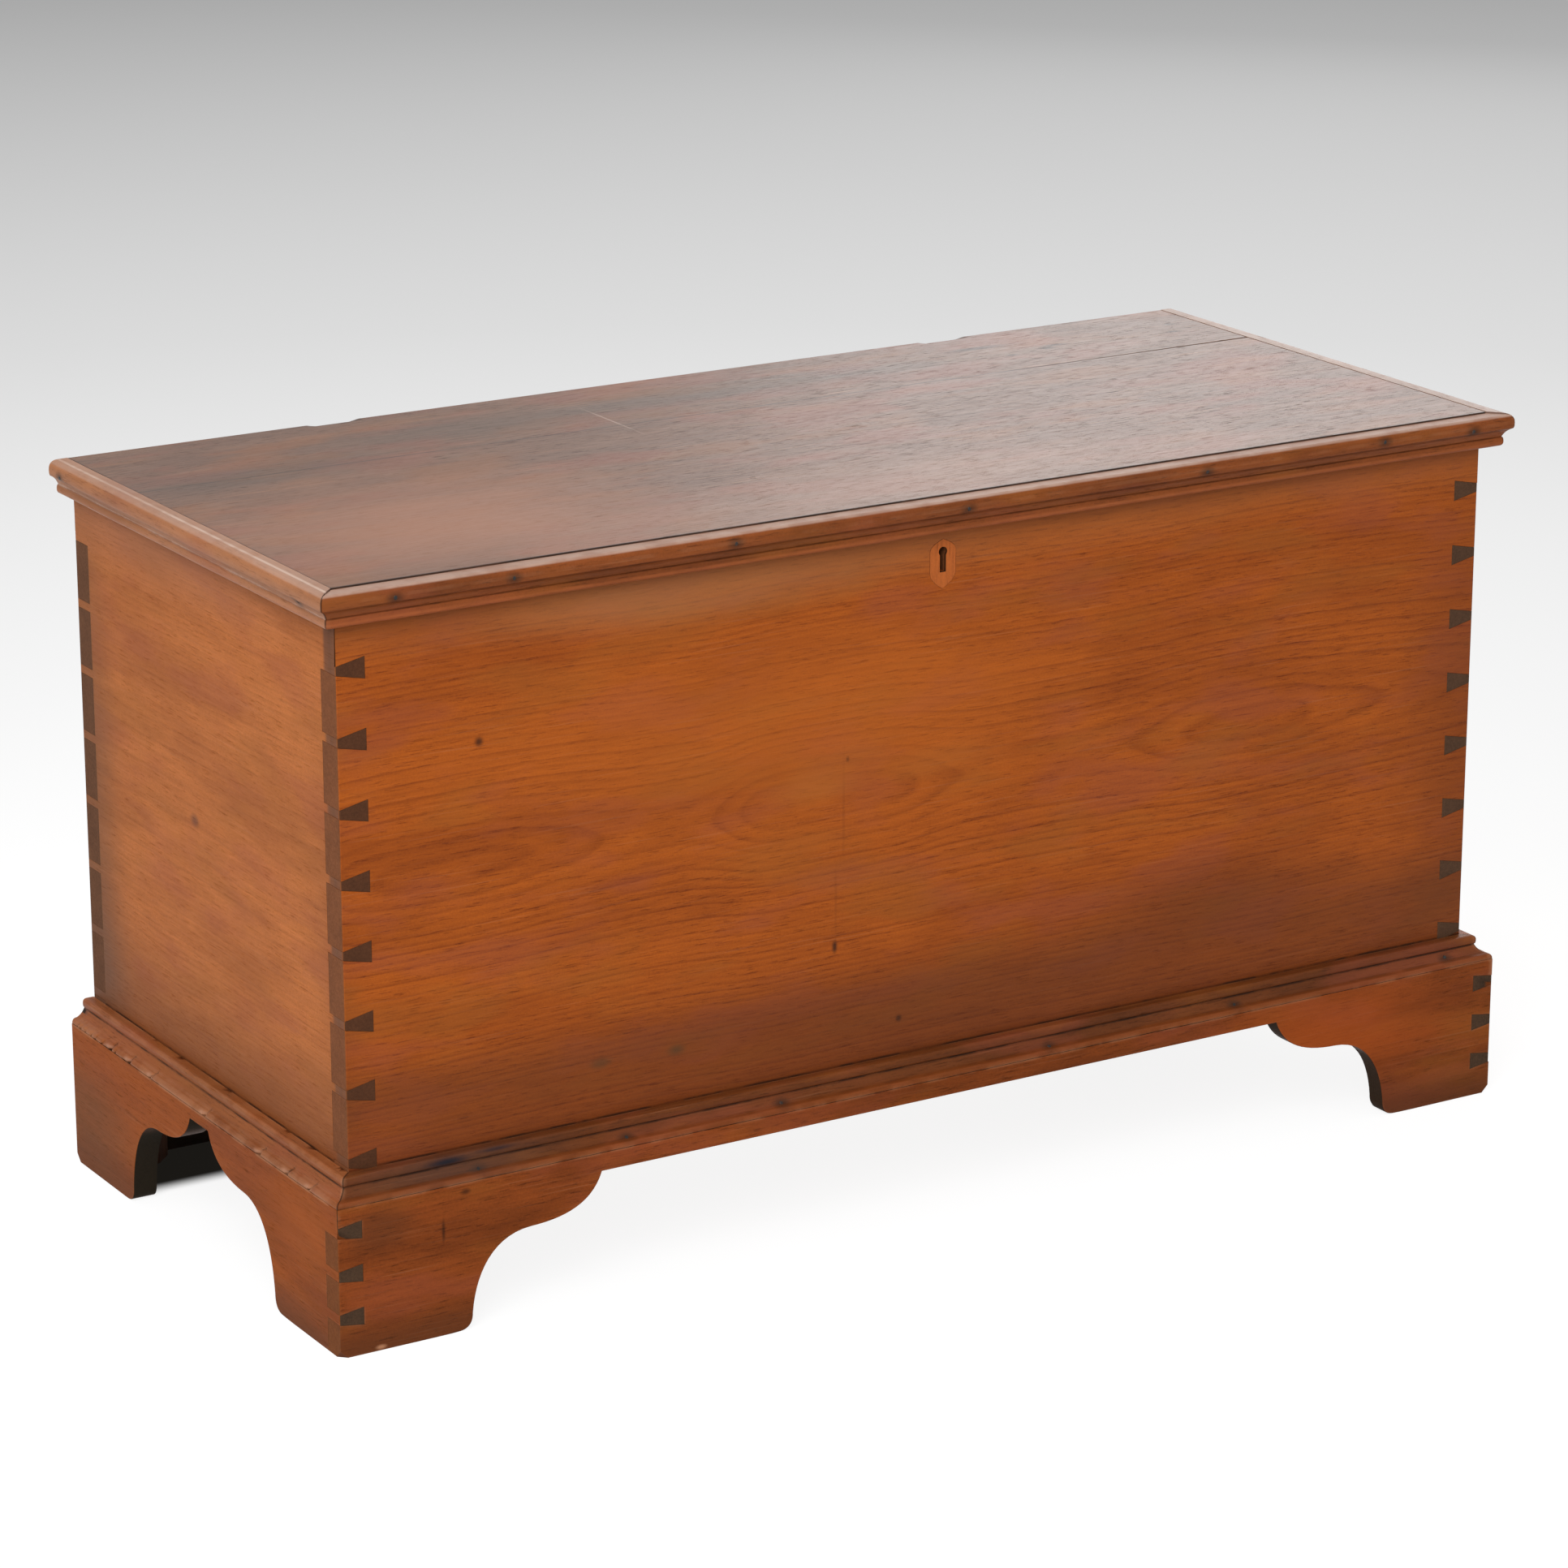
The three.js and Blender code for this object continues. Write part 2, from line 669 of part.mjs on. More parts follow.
function buildBase() {
  const group = new THREE.Group();
  group.add(piece('base_front', baseFrontBoard(), baseWood));
  group.add(piece('base_moulding_front', frontMoulding(baseMouldingSection()), baseWood));
  const frontCorner = baseFront + BASE_BOARD + JOINT_GAP;
  const rearCorner = caseBack - REAR_FOOT_BOARD - JOINT_GAP;
  for (const side of [-1, 1]) {
    const name = sideName(side);
    group.add(
      piece(`base_${name}`, baseSideBoard(side), baseWood),
      piece(`base_moulding_${name}`, endMoulding(baseMouldingSection(), side), baseWood),
      piece(`rear_foot_${name}`, rearFoot(side), innerWood),
      piece(`foot_block_front_${name}`, footBlock(side, frontCorner, 1), innerWood),
      piece(`foot_block_rear_${name}`, footBlock(side, rearCorner, -1), innerWood),
    );
  }
  return group;
}

// Screws. The head's face is at the origin and the point goes down.

function screwShape(gap) {
  const head = SCREW_HEAD_RADIUS + gap;
  const shank = SCREW_SHANK_RADIUS + gap;
  const above = gap ? [[head, OVERRUN], [0, OVERRUN]] : [[0, 0]];
  const points = [
    [0, -SCREW_LENGTH - gap],
    [shank, SCREW_HEAD_DEPTH - SCREW_LENGTH],
    [shank, -SCREW_HEAD_DEPTH],
    [head, 0],
    ...above,
  ];
  const profile = points.map(([radius, height]) => new THREE.Vector2(radius, height));
  return new THREE.LatheGeometry(profile, SCREW_SIDES).rotateX(Math.PI / 2);
}

// A place for a screw whose point goes the given way.
function screwPlace(x, y, z, pointing) {
  const turn = new THREE.Quaternion().setFromUnitVectors(Z_AXIS.clone().negate(), pointing);
  return new THREE.Matrix4().compose(new THREE.Vector3(x, y, z), turn, new THREE.Vector3(1, 1, 1));
}

function screwHole(place) {
  return screwShape(JOINT_GAP).applyMatrix4(place);
}

function screws(prefix, places) {
  return places.map((place, i) => {
    const mesh = piece(`${prefix}_${i + 1}`, screwShape(0), iron);
    mesh.applyMatrix4(place);
    return mesh;
  });
}

// Hinges

const hingeSides = [-1, 1];
const leafBottom = lidUnderside - CASE_LEAF_HEIGHT;
const strapFront = hingeAxisY - LID_STRAP_LENGTH;

function hingeX(side) {
  return side * HINGE_SPREAD / 2;
}

function caseLeafScrews(side) {
  return HINGE_SCREW_ROW_SHARES.map((share, i) => screwPlace(
    hingeX(side) + HINGE_SCREW_SWAY_SHARES[i] * HINGE_LENGTH,
    caseBack + JOINT_GAP + LEAF_THICKNESS,
    lidUnderside - CASE_LEAF_HEIGHT * share,
    Y_FORWARDS,
  ));
}

function lidStrapScrews(side) {
  return STRAP_SCREW_ROW_SHARES.map((share) => screwPlace(
    hingeX(side),
    hingeAxisY - LID_STRAP_LENGTH * share,
    lidUnderside,
    Z_AXIS,
  ));
}

// The space that the barrel needs in the lid and in the back board.
function barrelNotch(side) {
  const half = HINGE_LENGTH / 2 + JOINT_GAP;
  const x = hingeX(side);
  return rodAlongX(BARREL_RADIUS + 2 * JOINT_GAP, x - half, x + half, hingeAxisY, lidUnderside);
}

function knuckleRange(side, index) {
  const pitch = HINGE_LENGTH / HINGE_KNUCKLES;
  const left = hingeX(side) - HINGE_LENGTH / 2 + index * pitch;
  return [left, left + pitch];
}

// Takes the other leaf's knuckles and the pin's hole out of a leaf.
function withKnuckles(side, plate, first) {
  const x = hingeX(side);
  const half = HINGE_LENGTH / 2;
  const body = join([plate, rodAlongX(BARREL_RADIUS, x - half, x + half, hingeAxisY, lidUnderside)]);
  const reach = BARREL_RADIUS + JOINT_GAP;
  const others = [];
  for (let i = 1 - first; i < HINGE_KNUCKLES; i += 2) {
    const [left, right] = knuckleRange(side, i);
    others.push(block(
      left - JOINT_GAP, right + JOINT_GAP,
      hingeAxisY - reach, hingeAxisY + reach,
      lidUnderside - reach, lidUnderside + reach,
    ));
  }
  const hole = rodAlongX(
    PIN_RADIUS + PIN_CLEARANCE, x - half - OVERRUN, x + half + OVERRUN, hingeAxisY, lidUnderside,
  );
  return cut(body, [...others, hole]);
}

function caseLeaf(side) {
  const x = hingeX(side);
  const half = HINGE_LENGTH / 2;
  const front = caseBack + JOINT_GAP;
  const plate = block(x - half, x + half, front, front + LEAF_THICKNESS, leafBottom, lidUnderside);
  return cut(withKnuckles(side, plate, 0), caseLeafScrews(side).map(screwHole));
}

function strapShape(side, gap) {
  const x = hingeX(side);
  const wide = HINGE_LENGTH / 2 + gap;
  const tip = LID_STRAP_TIP / 2 + gap;
  const shape = new THREE.Shape();
  shape.moveTo(x - wide, hingeAxisY);
  shape.lineTo(x - wide, hingeAxisY - HINGE_LENGTH / 2);
  shape.lineTo(x - tip, hingeAxisY - HINGE_LENGTH);
  shape.lineTo(x - tip, strapFront + tip);
  shape.absarc(x, strapFront + tip, tip, Math.PI, Math.PI * 2, false);
  shape.lineTo(x + tip, hingeAxisY - HINGE_LENGTH);
  shape.lineTo(x + wide, hingeAxisY - HINGE_LENGTH / 2);
  shape.lineTo(x + wide, hingeAxisY);
  return shape;
}

function lidStrap(side) {
  const plate = alongZ(strapShape(side, 0), lidUnderside, lidUnderside + LEAF_THICKNESS);
  return cut(withKnuckles(side, plate, 1), lidStrapScrews(side).map(screwHole));
}

function strapRecess(side) {
  const shape = strapShape(side, JOINT_GAP);
  return alongZ(shape, lidUnderside - OVERRUN, lidUnderside + LEAF_THICKNESS + JOINT_GAP);
}

function hingePin(side) {
  const half = HINGE_LENGTH / 2;
  const x = hingeX(side);
  return rodAlongX(PIN_RADIUS, x - half, x + half, hingeAxisY, lidUnderside);
}

function buildHinges() {
  const fixed = new THREE.Group();
  const moving = new THREE.Group();
  for (const side of hingeSides) {
    const name = `hinge_${sideName(side)}`;
    fixed.add(piece(`${name}_case_leaf`, caseLeaf(side), iron));
    fixed.add(piece(`${name}_pin`, hingePin(side), iron));
    fixed.add(...screws(`${name}_case_screw`, caseLeafScrews(side)));
    moving.add(piece(`${name}_lid_strap`, lidStrap(side), iron));
    moving.add(...screws(`${name}_lid_screw`, lidStrapScrews(side)));
  }
  return { fixed, moving };
}

// Keyhole and escutcheon

const keyholeCentre = caseTop - KEYHOLE_TOP_DROP - KEYHOLE_RADIUS;

function keyholeCutter(front, back, gap) {
  const slot = KEYHOLE_SLOT / 2 + gap;
  const bottom = caseTop - KEYHOLE_TOP_DROP - KEYHOLE_HEIGHT - gap;
  return join([
    rodAlongY(KEYHOLE_RADIUS + gap, front, back, 0, keyholeCentre),
    block(-slot, slot, front, back, bottom, keyholeCentre),
  ]);
}

function escutcheonShape(gap) {
  const half = ESCUTCHEON_WIDTH / 2 + gap;
  const top = caseTop - ESCUTCHEON_TOP_DROP + gap;
  const bottom = caseTop - ESCUTCHEON_TOP_DROP - ESCUTCHEON_HEIGHT - gap;
  const shoulder = top - ESCUTCHEON_HEIGHT * ESCUTCHEON_SHARES.shoulder;
  const hip = top - ESCUTCHEON_HEIGHT * ESCUTCHEON_SHARES.hip;
  const shape = new THREE.Shape();
  shape.moveTo(0, bottom);
  shape.quadraticCurveTo(half, (bottom + hip) / 2, half, hip);
  shape.lineTo(half, shoulder);
  shape.quadraticCurveTo(half, (top + shoulder) / 2, 0, top);
  shape.quadraticCurveTo(-half, (top + shoulder) / 2, -half, shoulder);
  shape.lineTo(-half, hip);
  shape.quadraticCurveTo(-half, (bottom + hip) / 2, 0, bottom);
  return shape;
}

function escutcheonRecess() {
  const shape = escutcheonShape(JOINT_GAP);
  return alongY(shape, caseFront - OVERRUN, caseFront + ESCUTCHEON_THICKNESS + JOINT_GAP);
}

function escutcheon() {
  const blank = alongY(escutcheonShape(0), caseFront, caseFront + ESCUTCHEON_THICKNESS);
  return cut(blank, [keyholeCutter(caseFront - OVERRUN, caseInnerFront, 0)]);
}

// Lock

const lockHalf = LOCK_WIDTH / 2;
const mortiseHalf = MORTISE_WIDTH / 2;
const mortiseFront = caseInnerFront - MORTISE_DEPTH;
const boltFront = stapleY - BOLT_THICKNESS / 2;
const boltBack = stapleY + BOLT_THICKNESS / 2;
const boltTop = caseTop - BOLT_DROP;
const boltBottom = boltTop - BOLT_HEIGHT;
const studZ = (boltTop + boltBottom) / 2;

// When unlocked, each finger's tip stands just left of its staple.
const fingerReach = STAPLE_THICKNESS / 2 + FINGER_CLEARANCE;
const fingerTips = [-1, 1].map((side) => side * STAPLE_SPREAD / 2 - fingerReach);
const armLefts = fingerTips.map((tip) => tip - FINGER_LENGTH - BOLT_ARM);
const studXs = armLefts.map((left) => left + BOLT_ARM + BOLT_THROW);

function lockPlateProfile(gap) {
  const back = caseInnerFront + (gap ? OVERRUN : 0);
  const top = caseTop + (gap ? OVERRUN : 0);
  const low = caseTop - LOCK_HEIGHT - gap;
  const face = caseInnerFront - LOCK_PLATE - gap;
  const front = caseInnerFront - SELVAGE_DEPTH - gap;
  const under = caseTop - LOCK_PLATE - gap;
  return shapeOf([[back, low], [back, top], [front, top], [front, under], [face, under], [face, low]]);
}

function lockScrews() {
  const inset = (LOCK_WIDTH - MORTISE_WIDTH) / 4;
  return [-1, 1].flatMap((side) => LOCK_SCREW_ROW_SHARES.map((share) => screwPlace(
    side * (lockHalf - inset), caseInnerFront, caseTop - LOCK_HEIGHT * share, Y_FORWARDS,
  )));
}

function lockPlate() {
  const back = caseInnerFront - JOINT_GAP;
  const studs = studXs.map((x) => rodAlongY(STUD_RADIUS, boltFront, back, x, studZ, SMALL_SIDES));
  const drillFront = mortiseFront + LOCK_CAP;
  const drillPin = rodAlongY(DRILL_PIN_RADIUS, drillFront, back, 0, keyholeCentre, SMALL_SIDES);
  const body = join([alongX(lockPlateProfile(0), -lockHalf, lockHalf), ...studs, drillPin]);
  const halfY = STAPLE_WIDTH / 2 + STAPLE_SLOT_CLEARANCE;
  const halfX = STAPLE_THICKNESS / 2 + STAPLE_SLOT_CLEARANCE;
  const slots = [-1, 1].map((side) => side * STAPLE_SPREAD / 2).map((x) => block(
    x - halfX, x + halfX, stapleY - halfY, stapleY + halfY, caseTop - LOCK_PLATE - OVERRUN, caseTop + OVERRUN,
  ));
  return cut(body, [...slots, ...lockScrews().map(screwHole)]);
}

// A shallow cover over the works, on the side of the keyhole.
function lockCap() {
  const half = mortiseHalf - JOINT_GAP;
  const front = mortiseFront + JOINT_GAP;
  const back = caseInnerFront - LOCK_PLATE - JOINT_GAP;
  const low = caseTop - MORTISE_HEIGHT + JOINT_GAP;
  const high = caseTop - LOCK_PLATE - JOINT_GAP;
  const shell = block(-half, half, front, back, low, high);
  const inside = block(
    LOCK_CAP - half, half - LOCK_CAP, front + LOCK_CAP, back + OVERRUN, low + LOCK_CAP, high + OVERRUN,
  );
  return cut(shell, [inside, keyholeCutter(front - OVERRUN, front + LOCK_CAP + OVERRUN, 0)]);
}

function lockHousing() {
  const mortise = block(
    -mortiseHalf, mortiseHalf, mortiseFront, caseInnerFront + OVERRUN, caseTop - MORTISE_HEIGHT, caseTop,
  );
  const plate = alongX(lockPlateProfile(JOINT_GAP), -lockHalf - JOINT_GAP, lockHalf + JOINT_GAP);
  return [mortise, plate, ...lockScrews().map(screwHole)];
}

// The bolt: a bar that slides on two studs, with an arm and a finger for each staple.
function lockBolt() {
  const right = armLefts[1] + BOLT_ARM + BOLT_THROW;
  const left = armLefts[0];
  const bar = block(left, right + STUD_RADIUS * 2, boltFront, boltBack, boltBottom, boltTop);
  const arms = armLefts.map((x) => block(
    x, x + BOLT_ARM, boltFront, boltBack, boltBottom, stapleTop,
  ));
  const fingers = armLefts.map((x) => block(
    x, x + BOLT_ARM + FINGER_LENGTH, boltFront, boltBack, stapleTop - FINGER_HEIGHT, stapleTop,
  ));
  const gap = STUD_RADIUS + JOINT_GAP;
  const slots = studXs.map((x) => join([
    rodAlongY(gap, boltFront - OVERRUN, boltBack + OVERRUN, x, studZ, SMALL_SIDES),
    rodAlongY(gap, boltFront - OVERRUN, boltBack + OVERRUN, x - BOLT_THROW, studZ, SMALL_SIDES),
    block(x - BOLT_THROW, x, boltFront - OVERRUN, boltBack + OVERRUN, studZ - gap, studZ + gap),
  ]));
  return cut(join([bar, ...arms, ...fingers]), slots);
}

// Strike on the lid's underside, with the two staples that drop into the lock.

function strikeScrews() {
  const x = (STRIKE_LENGTH + STAPLE_SPREAD + STAPLE_THICKNESS) / 4;
  return [-1, 1].map((side) => screwPlace(side * x, stapleY, lidUnderside, Z_AXIS));
}

function strikeBlank(gap) {
  const half = STRIKE_LENGTH / 2 + gap;
  const wide = STRIKE_WIDTH / 2 + gap;
  const under = lidUnderside - (gap ? OVERRUN : 0);
  return block(-half, half, stapleY - wide, stapleY + wide, under, lidUnderside + LOCK_PLATE + gap);
}

function strikePlate() {
  const low = caseTop - STAPLE_LENGTH;
  const eyeWide = BOLT_THICKNESS / 2 + STAPLE_EYE_CLEARANCE;
  const eyeLow = stapleTop - FINGER_HEIGHT - STAPLE_EYE_CLEARANCE;
  const eyeHigh = stapleTop + STAPLE_EYE_CLEARANCE;
  const places = [-1, 1].map((side) => side * STAPLE_SPREAD / 2);
  const staples = places.map((x) => block(
    x - STAPLE_THICKNESS / 2, x + STAPLE_THICKNESS / 2,
    stapleY - STAPLE_WIDTH / 2, stapleY + STAPLE_WIDTH / 2,
    low, lidUnderside + JOINT_GAP,
  ));
  const eyes = places.map((x) => block(
    x - STAPLE_THICKNESS, x + STAPLE_THICKNESS, stapleY - eyeWide, stapleY + eyeWide, eyeLow, eyeHigh,
  ));
  return cut(join([strikeBlank(0), ...staples]), [...eyes, ...strikeScrews().map(screwHole)]);
}

function buildLock() {
  const group = new THREE.Group();
  group.add(
    piece('lock_plate', lockPlate(), iron),
    piece('lock_cap', lockCap(), iron),
    piece('lock_bolt', lockBolt(), iron),
    ...screws('lock_screw', lockScrews()),
  );
  return group;
}

// Lid

const lidJointY = caseBack - LID_BACK_BOARD_WIDTH;

function lidFrontBoard() {
  const blank = block(-lidHalf, lidHalf, lidFront, lidJointY, lidUnderside, lidTop);
  return cut(blank, [strikeBlank(JOINT_GAP), ...strikeScrews().map(screwHole)]);
}

// The scooped hollow in the lid's back edge over each hinge.
function edgeScoop(side) {
  const radius = (SCOOP_LENGTH * SCOOP_LENGTH / 4 + SCOOP_DEPTH * SCOOP_DEPTH) / (2 * SCOOP_DEPTH);
  return rodAlongY(
    radius, caseBack - SCOOP_WIDTH, caseBack + OVERRUN, hingeX(side), lidTop + radius - SCOOP_DEPTH,
    SCOOP_SIDES,
  );
}

// The back board has shrunk away from the front one towards its right end.
function lidBackBoard() {
  const shape = shapeOf([
    [-lidHalf, lidJointY + JOINT_GAP],
    [lidHalf, lidJointY + LID_CRACK],
    [lidHalf, caseBack],
    [-lidHalf, caseBack],
  ]);
  const cutters = hingeSides.flatMap((side) => [
    barrelNotch(side), strapRecess(side), edgeScoop(side), ...lidStrapScrews(side).map(screwHole),
  ]);
  return cut(alongZ(shape, lidUnderside, lidTop), cutters);
}

function buildLid(hingeParts) {
  const group = new THREE.Group();
  group.add(
    piece('lid_front_board', lidFrontBoard(), lidWood),
    piece('lid_back_board', lidBackBoard(), lidWood),
    piece('lid_moulding_front', frontMoulding(lidMouldingSection()), frontWood),
    piece('lid_moulding_left', endMoulding(lidMouldingSection(), -1), frontWood),
    piece('lid_moulding_right', endMoulding(lidMouldingSection(), 1), frontWood),
    piece('strike_plate', strikePlate(), iron),
    ...screws('strike_screw', strikeScrews()),
    hingeParts,
  );
  return group;
}

const hinges = buildHinges();
const chest = new THREE.Group();
chest.add(buildCase(), buildBase(), buildLock(), hinges.fixed, buildLid(hinges.moving));

export default chest;
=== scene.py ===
"""Dresses a dovetailed blanket chest: old waxed wood, worn arrises, nails and forged iron."""

import json
import math
import random

import bmesh
import bpy
from bpy.props import FloatProperty, FloatVectorProperty, IntProperty, PointerProperty
from mathutils import Matrix, Vector, noise
from mathutils.bvhtree import BVHTree

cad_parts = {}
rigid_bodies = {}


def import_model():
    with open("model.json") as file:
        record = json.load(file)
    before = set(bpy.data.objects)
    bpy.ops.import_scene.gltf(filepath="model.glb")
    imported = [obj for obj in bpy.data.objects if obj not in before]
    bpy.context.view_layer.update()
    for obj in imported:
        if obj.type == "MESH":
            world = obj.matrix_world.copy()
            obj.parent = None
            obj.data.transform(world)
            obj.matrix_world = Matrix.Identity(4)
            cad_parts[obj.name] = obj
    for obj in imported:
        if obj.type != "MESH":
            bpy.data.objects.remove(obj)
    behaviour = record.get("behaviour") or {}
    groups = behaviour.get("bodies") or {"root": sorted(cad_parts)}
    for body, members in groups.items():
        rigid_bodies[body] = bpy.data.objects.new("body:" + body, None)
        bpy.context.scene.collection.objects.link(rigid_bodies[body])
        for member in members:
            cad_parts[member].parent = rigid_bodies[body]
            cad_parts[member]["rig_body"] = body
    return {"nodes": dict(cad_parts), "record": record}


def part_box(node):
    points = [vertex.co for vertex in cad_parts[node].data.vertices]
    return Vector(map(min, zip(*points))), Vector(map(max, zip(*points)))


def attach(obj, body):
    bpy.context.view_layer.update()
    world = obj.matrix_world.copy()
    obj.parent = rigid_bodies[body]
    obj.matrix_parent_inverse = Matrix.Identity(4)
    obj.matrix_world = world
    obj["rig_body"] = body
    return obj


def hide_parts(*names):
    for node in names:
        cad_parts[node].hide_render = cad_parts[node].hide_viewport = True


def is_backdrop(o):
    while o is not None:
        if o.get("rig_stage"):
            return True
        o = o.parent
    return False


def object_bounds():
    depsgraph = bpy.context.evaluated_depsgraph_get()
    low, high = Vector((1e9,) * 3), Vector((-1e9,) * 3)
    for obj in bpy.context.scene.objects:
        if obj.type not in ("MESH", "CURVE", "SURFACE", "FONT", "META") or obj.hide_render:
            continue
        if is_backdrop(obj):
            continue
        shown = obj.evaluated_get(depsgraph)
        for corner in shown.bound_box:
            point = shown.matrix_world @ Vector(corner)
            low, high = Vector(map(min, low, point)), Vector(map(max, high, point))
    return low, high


bl_info = {
    "name": "Blanket Chest Finish",
    "version": (1, 0, 0),
    "blender": (4, 5, 0),
    "location": "3D View > Sidebar > Chest",
    "description": "Old waxed wood, worn edges, nails and forged iron for a blanket chest",
    "category": "Object",
}

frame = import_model()
CAD_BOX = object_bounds()

MM = 0.001
MERGE_DISTANCE = 1e-6
LINE_TOLERANCE = 3e-5
FLAT_ANGLE = math.radians(0.2)
SMOOTH_ANGLE = math.radians(32)
EASED_ANGLE = math.radians(40)
SHARP_ANGLE = math.radians(50)

# What a band of colour measures its position along: out from the middle, back, or up
OUT, BACK, UP = (1, 0, 0), (0, 1, 0), (0, 0, 1)

SLOT_OF = {part["node"]: part["material_slot"] for part in frame["record"]["subparts"]}


def paint(red, green, blue):
    """A colour that is written as a painter's 0 to 255 values, as linear light."""
    parts = (red / 255, green / 255, blue / 255)
    return tuple(p / 12.92 if p <= 0.04045 else ((p + 0.055) / 1.055) ** 2.4 for p in parts)


# Settings that a user would change


def hue(name, description, *levels):
    return FloatVectorProperty(
        name=name, description=description, subtype="COLOR", size=3, min=0, max=1, default=paint(*levels)
    )


def measure(name, description, millimetres):
    return FloatProperty(
        name=name, description=description, subtype="DISTANCE", unit="LENGTH", min=0, default=millimetres * MM
    )


class ChestWoodSettings(bpy.types.PropertyGroup):
    """Colours of the woods."""

    front: hue("Front", "Lit wood of the front board", 184, 92, 25)
    front_dark: hue("Front grain", "Late wood of the front board", 120, 51, 12)
    # Painted paler than the front: a painted sheen for the stronger light on the ends
    end: hue("Ends", "Lit wood of the end boards", 203, 119, 58)
    end_dark: hue("End boards' grain", "Late wood of the end boards", 142, 74, 29)
    lid: hue("Lid", "Faded wood of the top", 132, 94, 72)
    lid_dark: hue("Lid grain", "Late wood of the top", 82, 54, 38)
    moulding: hue("Mouldings", "Lit wood of the lid's mouldings", 150, 80, 38)
    moulding_dark: hue("Mouldings' grain", "Late wood of the mouldings", 88, 44, 20)
    base: hue("Base", "Lit wood of the bracket base", 151, 75, 30)
    base_dark: hue("Base grain", "Late wood of the bracket base", 84, 39, 14)
    inner: hue("Inside", "Bare wood inside and underneath", 158, 118, 80)
    inner_dark: hue("Inside grain", "Late wood inside and underneath", 104, 72, 44)
    inlay: hue("Inlay", "Wood of the inlaid escutcheon", 202, 108, 48)
    inlay_dark: hue("Inlay grain", "Late wood of the escutcheon", 146, 74, 32)
    rose: hue("Rose", "Rosy patches in the wood", 158, 80, 56)
    ochre: hue("Ochre", "Yellow patches in the wood", 158, 92, 34)
    end_grain: hue("End grain", "Cut ends of the boards", 90, 58, 40)
    end_grain_dark: hue("End grain rings", "Rings of the cut ends", 54, 36, 26)
    # Also painted shade: in the quirks, under the lid's moulding, inside the keyhole, in the nicks and at the
    # lid's back edge
    grime_and_shade: hue("Grime", "Dirt in corners and quirks", 42, 24, 14)
    # Painted shade on the inner faces of the scrolls and on the walls round the keyhole
    painted_shade: hue("Hollows", "Unwaxed wood in the hollows of the brackets", 34, 30, 22)
    # A painted sheen, with dust, along the top of the lid's mouldings
    dust_and_painted_light: hue("Dusty top", "Pale bloom on the arris of the lid", 198, 164, 146)
    # Wear, and also painted highlights on crests and arrises
    wear_and_painted_highlight: hue("Rubbed edges", "Edges worn down to pale wood", 200, 142, 104)


class ChestWearSettings(bpy.types.PropertyGroup):
    """How worn the chest is."""

    corner: measure("Corner rounding", "Rounding of the corners of case and base", 1.5)
    arris: measure("Arris rounding", "Rounding of the other edges", 0.8)
    ease: measure("Easing", "Rounding of edges that stayed sharp", 0.35)
    wobble: measure("Wobble", "Unevenness of hand-planed mouldings", 0.3)
    sunk: measure("Sunk moulding", "How far the lid's front moulding has sunk", 1.4)
    shrunk: measure("Shrinkage", "How far the lid's boards have shrunk at the right", 1.6)
    toe_chip: measure("Toe chip", "Size of the chips off the feet", 7)
    undercut: measure("Undercut", "Rounding of the front scrolls' back edge", 9)
    nick_depth: measure("Nick depth", "Depth of the nicks in the left base moulding", 3)
    nail_head: measure("Nail head", "Radius of a moulding nail's head", 3.2)
    seed: IntProperty(name="Seed", description="Draw of the random wear", default=7)


class ChestIronSettings(bpy.types.PropertyGroup):
    """Colour of the ironwork."""

    iron: hue("Iron", "Dark forged iron", 72, 66, 62)
    rust: hue("Rust", "Rust on the iron", 104, 62, 38)
    nail: hue("Nails", "Blackened nail heads", 34, 29, 26)


class ChestStageSettings(bpy.types.PropertyGroup):
    """Camera, lamps and floor."""

    lens: FloatProperty(
        name="Lens", description="Focal length", subtype="DISTANCE_CAMERA", min=1, default=121.36
    )
    place: FloatVectorProperty(
        name="Place", description="Where the camera stands", subtype="XYZ", unit="LENGTH", size=3,
        default=(-2.4608, -4.0128, 1.8086),
    )
    aim: FloatVectorProperty(
        name="Aim", description="What the camera looks at", subtype="XYZ", unit="LENGTH", size=3,
        default=(0.0081, 0.0290, 0.3300),
    )
    key: FloatProperty(
        name="Key lamp", description="Power of the front lamp", unit="POWER", min=0, default=158
    )
    back: FloatProperty(
        name="Back lamp", description="Power of the window lamp", unit="POWER", min=0, default=64
    )
    ambient: FloatProperty(
        name="Ambient", description="Strength of the light all round", min=0, default=0.5
    )
    near_floor: hue("Near floor", "Floor under the chest", 255, 255, 255)
    # A painted shadow on the floor behind the rear feet
    painted_shadow_floor: hue("Hidden floor", "Floor in the dark behind the feet", 28, 26, 23)
    far_floor: hue("Far floor", "Floor and backdrop far off", 170, 170, 170)


def settings(context):
    return context.scene.chest_wood, context.scene.chest_wear


# Materials


